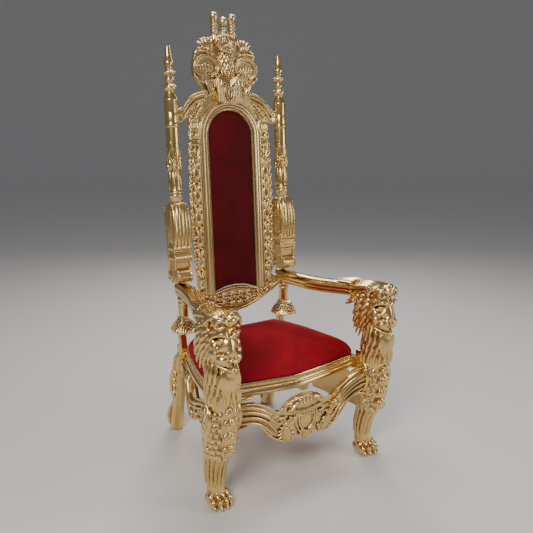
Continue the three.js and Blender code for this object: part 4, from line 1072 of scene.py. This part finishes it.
# --- Yoke rail: swept rail from column to column ------------------------------------------
# Sawn from one board and screwed through the columns. A flat block at each end runs
# into a broad cove between two raised rims, over a pierced spandrel with a pearled leaf.
yoke = clear_bench("yoke_rail_carving")
half = [(100, 1495), (128, 1491), (160, 1479), (182, 1460), (197, 1436), (212, 1423), (232, 1420), (232, 1366), (208, 1370),
        (192, 1385.5)]
saddle = 145.5
half += [(saddle * math.cos(a), 1315 + saddle * math.sin(a)) for a in [math.radians(30 + 60 * k / 14) for k in range(14)]]
board([(0, 1495)] + half + [(0, 1315 + saddle)] + [(-x, z) for x, z in reversed(half)], -2, 18)
bpy.ops.mesh.select_all(action="SELECT")
bpy.ops.mesh.normals_make_consistent(inside=False)
pierce(yoke, [(s * 158, 1411, 8, 15) for s in (-1, 1)])
work = []
for s in (-1, 1):
    over = [(s * x, -3, z) for x, z in ((230, 1415), (214, 1418), (201, 1430), (185, 1455), (161, 1474), (130, 1486), (96, 1491))]
    under = [(s * x, -3, z) for x, z in ((230, 1371), (211, 1374), (199, 1390), (187, 1414), (165, 1437), (138, 1452), (112, 1460))]
    work += [[(x, y, z, 5) for x, y, z in over], [(x, y, z, 4.5) for x, y, z in under]]
    work.append([(x * 0.6 + u * 0.4, -3, z * 0.6 + w * 0.4, 6) for (x, y, z), (u, v, w) in zip(over, under)])
    work.append([(s * 214, -4, 1418, 3), (s * 214, -4, 1374, 3)])
    bpy.ops.mesh.primitive_cube_add(size=1, location=mm(s * 222, -2, 1394), scale=mm(18, 8, 44))
    for k in range(7):
        t = k / 6
        lump((s * (180 - 46 * t), -4, 1378 + 62 * t), (5.2, 6, 5.2), sides=8)
    work.append([(s * 190, -3, 1388, 4), (s * 168, -5, 1400, 4), (s * 148, -5, 1426, 4), (s * 124, -3, 1448, 3)])
    work.append([(s * 176, -3, 1366, 4), (s * 158, -5, 1384, 4), (s * 142, -5, 1408, 4), (s * 128, -3, 1430, 3)])
yoke = fuse(yoke, [strokes(work)], grain=1.9, polish=2, keep=0.45)
lean(yoke)
yoke_gold = gold_leaf("gilded_yoke", light=(0.82, 0.58, 0.24, 1), rough=0.24)
yoke.data.materials.append(yoke_gold)
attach(yoke, "root")
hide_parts("yoke_rail")

# --- Crest: two sunk lobes, a leafy centre, a fluted tongue and a crown of horns ----------
# Carved from one thick block that sits over the yoke rail. Rimmed hollows stand each
# side of a feathered centre; shells rise behind, and three turned horns crown it.
half = [(46, 1722), (60, 1710), (76, 1703), (94, 1706), (106, 1700), (109, 1682), (108, 1666), (124, 1665), (138, 1650),
        (139, 1634), (148, 1610), (151, 1585), (146, 1553), (132, 1533), (118, 1516), (110, 1498.5)]
crest = clear_bench("crest_carving")
board([(0, 1722)] + half + [(0, 1498.5)] + [(-x, z) for x, z in reversed(half)], 4, 25)
tongue = [(57, 1550), (57, 1452), (38, 1445)]
board([(0, 1550)] + tongue + [(0, 1442)] + [(-x, z) for x, z in reversed(tongue)], -21, 5)
lump((0, 0, 1606), (37, 20, 62), sides=16)
lump((0, 0, 1686), (44, 22, 40), sides=16)
work = []
for s in (-1, 1):
    rim = [(s * (92 + 54 * math.cos(math.radians(a))), 1 - 4 * abs(math.sin(math.radians(a / 2))),
            1590 + 43 * math.sin(math.radians(a)), 6 if a < 200 else 5) for a in range(-70, 251, 20)]
    work.append(rim)
    work.append([(s * (92 + 45 * math.cos(math.radians(a))), -1, 1590 + 34 * math.sin(math.radians(a)), 2.4)
                 for a in range(0, 361, 24)])
    for k in range(5):
        x = 66 + 13 * k
        work.append([(s * x, 2, 1570 + 3 * abs(k - 2), 3), (s * (x + 2), -1, 1588, 4.5 if k % 2 else 3.4),
                     (s * (x + 5), 1, 1604 - 4 * abs(k - 2), 2.5)])
    work.append([(s * 58, 2, 1564, 3), (s * 84, 0, 1560, 3.4), (s * 118, 1, 1570, 2.6)])
    for k in range(5):
        a = math.radians(118 - 20 * k)
        u, w = math.cos(a), math.sin(a)
        work.append([(s * (74 + 8 * u), 2, 1650 + 8 * w, 5), (s * (80 + 30 * u), -4, 1654 + 30 * w, 9 - 0.5 * k),
                     (s * (82 + 48 * u), 3, 1654 + 48 * w, 7), (s * (84 + 54 * u), 10, 1652 + 52 * w, 4)])
    work.append([(s * 58, -3, 1640, 4), (s * 88, -5, 1648, 6), (s * 118, -3, 1650, 6), (s * 134, 0, 1644, 5)])
    work.append([(s * 96, -2, 1660, 4), (s * 118, -4, 1664, 5), (s * 134, 0, 1656, 4), (s * 138, 2, 1640, 4)])
    for k in range(4):
        a = math.radians(-30 - 26 * k)
        work.append([(s * (100 + 46 * math.cos(a)), 2, 1576 + 46 * math.sin(a), 4),
                     (s * (102 + 52 * math.cos(a + 0.2)), -2, 1574 + 52 * math.sin(a + 0.2), 6),
                     (s * (98 + 50 * math.cos(a - 0.25)), 0, 1576 + 50 * math.sin(a - 0.25), 4)])
    for k in range(3):
        work.append([(s * (70 + 13 * k), -3, 1536, 5), (s * (74 + 12 * k), -9, 1516, 8 - k), (s * (80 + 5 * k), -8, 1494 + 3 * k, 5),
                     (s * (84 + k), -7, 1480 + 6 * k, 2.5)])
    work.append([(s * 62, -2, 1540, 4), (s * 60, -4, 1510, 5), (s * 66, -4, 1486, 5), (s * 84, -6, 1474, 3)])
    for k in range(4):
        work.append([(s * (52 - 3 * k), -17, 1564 - 7 * k, 2.6), (s * (34 - 3 * k), -24, 1549 - 6 * k, 3.4), (0, -26, 1533 - 6 * k, 3)])
    for x in (28, 36, 44, 52):
        work.append([(s * x, -22, 1544 - 0.6 * (52 - x), 3.2), (s * x, -22.5, 1452 - 0.12 * (52 - x), 3.2)])
    work.append([(s * 21, -24, 1512, 3), (s * 21, -24, 1476, 3), (s * 12, -24, 1460, 3), (0, -24, 1455, 3)])
    work.append([(s * 4, -26, 1498, 2.4), (s * 12, -26, 1488, 2.6), (s * 7, -26, 1474, 2.4), (0, -26, 1466, 2.4)])
    for row in range(6):
        z = 1566 + 15 * row
        for x in ((6, 20) if row % 2 else (0.5, 13, 26)):
            work.append([(s * x, -17 + 0.35 * x, z + 12, 5.5), (s * (x + 1), -21 + 0.35 * x, z + 2, 5.5), (s * (x + 1), -20 + 0.35 * x, z - 10, 2.2)])
    work.append([(s * 30, -16, 1656, 4), (s * 16, -22, 1670, 5), (0, -24, 1673, 5)])
    work.append([(s * 30, -16, 1656, 4), (s * 16, -23, 1648, 4.5), (0, -25, 1646, 4.5)])
    for k in range(4):
        work.append([(s * (6 + 9 * k), -16, 1684, 4), (s * (9 + 10 * k), -22 + 2 * k, 1700, 6.5), (s * (8 + 9 * k), -12 + k, 1720 - 3 * k, 4)])
    work.append([(s * 40, -8, 1672, 5), (s * 46, -10, 1696, 7), (s * 44, -4, 1724, 6)])
work.append([(-24, -25, 1512, 3), (24, -25, 1512, 3)])
work.append([(-14, -26, 1504, 2.2), (14, -26, 1504, 2.2)])
for x in (-16, -8, 0, 8, 16):
    work.append([(x, -24, 1530, 2.8), (x, -25, 1519, 2.8)])
    work.append([(x * 0.8, -24, 1452, 2.2), (x * 0.8, -23, 1446, 2.2)])
lump((0, -19, 1659), (22, 8, 6), sides=16)
crest = fuse(crest, [strokes(work)], grain=1.9, polish=1, keep=0.45)
bpy.ops.object.mode_set(mode="EDIT")
horn = ((0, 1700), (15, 1700), (16, 1722), (13, 1727), (15.5, 1731), (15.5, 1735), (12.5, 1739), (15, 1743), (15, 1747),
        (12, 1751), (14.5, 1755), (14.5, 1759), (11.5, 1763), (13.5, 1767), (13.5, 1770), (11, 1774), (12.5, 1779),
        (16, 1786), (17, 1793), (16, 1800), (11, 1806), (5, 1808), (3, 1806), (0, 1806))
knob = ((0, 1712), (18, 1722), (17.5, 1734), (12, 1740), (13.5, 1744), (13.5, 1747), (9, 1751), (11, 1757), (16, 1764),
        (17.5, 1773), (16, 1782), (10, 1790), (0, 1795))
for s in (-1, 1):
    turning(horn, s * 42, 15, 32)
turning(knob, 0, 12, 32)
crest = lean(true_up(crest, 55))
crest_gold = gold_leaf("gilded_crest", light=(0.78, 0.55, 0.24, 1), rough=0.27)
crest.data.materials.append(crest_gold)
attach(crest, "root")
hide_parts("crest")

# --- Lower back rail: pierced lens between the arms ---------------------------------------
# Fret cut below the velvet. A moulded rim follows its top and bottom curves, with leaf
# scrolls between, and tenons tie it into the arms.
half = [(54, 667), (107, 649), (190, 649), (196, 698), (221, 698), (221, 652), (162, 632), (130, 608), (90, 584), (45, 565),
        (14, 562)]
lower_rail = clear_bench("lower_back_rail_carving")
board([(0, 673)] + half + [(0, 557)] + [(-x, z) for x, z in reversed(half)], -6, 11)
bpy.ops.mesh.select_all(action="SELECT")
bpy.ops.mesh.normals_make_consistent(inside=False)
pierce(lower_rail, [(x, 640 - abs(x) * 0.05, 8, 11) for x in (-60, -20, 20, 60)]
       + [(x, 594 + abs(x) * 0.2, 8, 8) for x in (-60, -20, 20, 60)])
low = (-216, -190, -162, -130, -90, -45, 0, 45, 90, 130, 162, 190, 216)
work = [[(x, -10, 566 + 78 * (abs(x) / 200) ** 1.5, 6) for x in low], [(x, -9, 580 + 72 * (abs(x) / 200) ** 1.5, 3.4) for x in low],
        [(x, -10, 667 - 20 * (abs(x) / 107) ** 1.6, 4.5) for x in range(-105, 106, 15)]]
for x in (-78, -39, 0, 39, 78):
    for s in (-1, 1):
        work.append(spiral((x + s * 9, 618), 90 - s * 90, 1.1, 10, 2.5, -11, 4.2, swing=s))
        work.append([(x, -9, 598, 3), (x + s * 8, -13, 606, 4.5), (x + s * 15, -10, 604, 2.5)])
        work.append([(x, -9, 634, 3), (x + s * 9, -13, 642, 4.5), (x + s * 17, -10, 640, 2.5)])
    lump((x, -11, 619), (5, 5, 9))
for s in (-1, 1):
    for k in range(4):
        work.append([(s * (104 + 18 * k), -9, 612 + 12 * k, 4), (s * (112 + 19 * k), -13, 630 + 7 * k, 6), (s * (104 + 21 * k), -9, 642 + 2 * k, 3)])
lower_rail = fuse(lower_rail, [strokes(work)], grain=1.8, polish=1, keep=0.45)
lean(lower_rail)
lower_gold = gold_leaf("gilded_lower_rail")
lower_rail.data.materials.append(lower_gold)
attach(lower_rail, "root")
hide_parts("lower_back_rail")
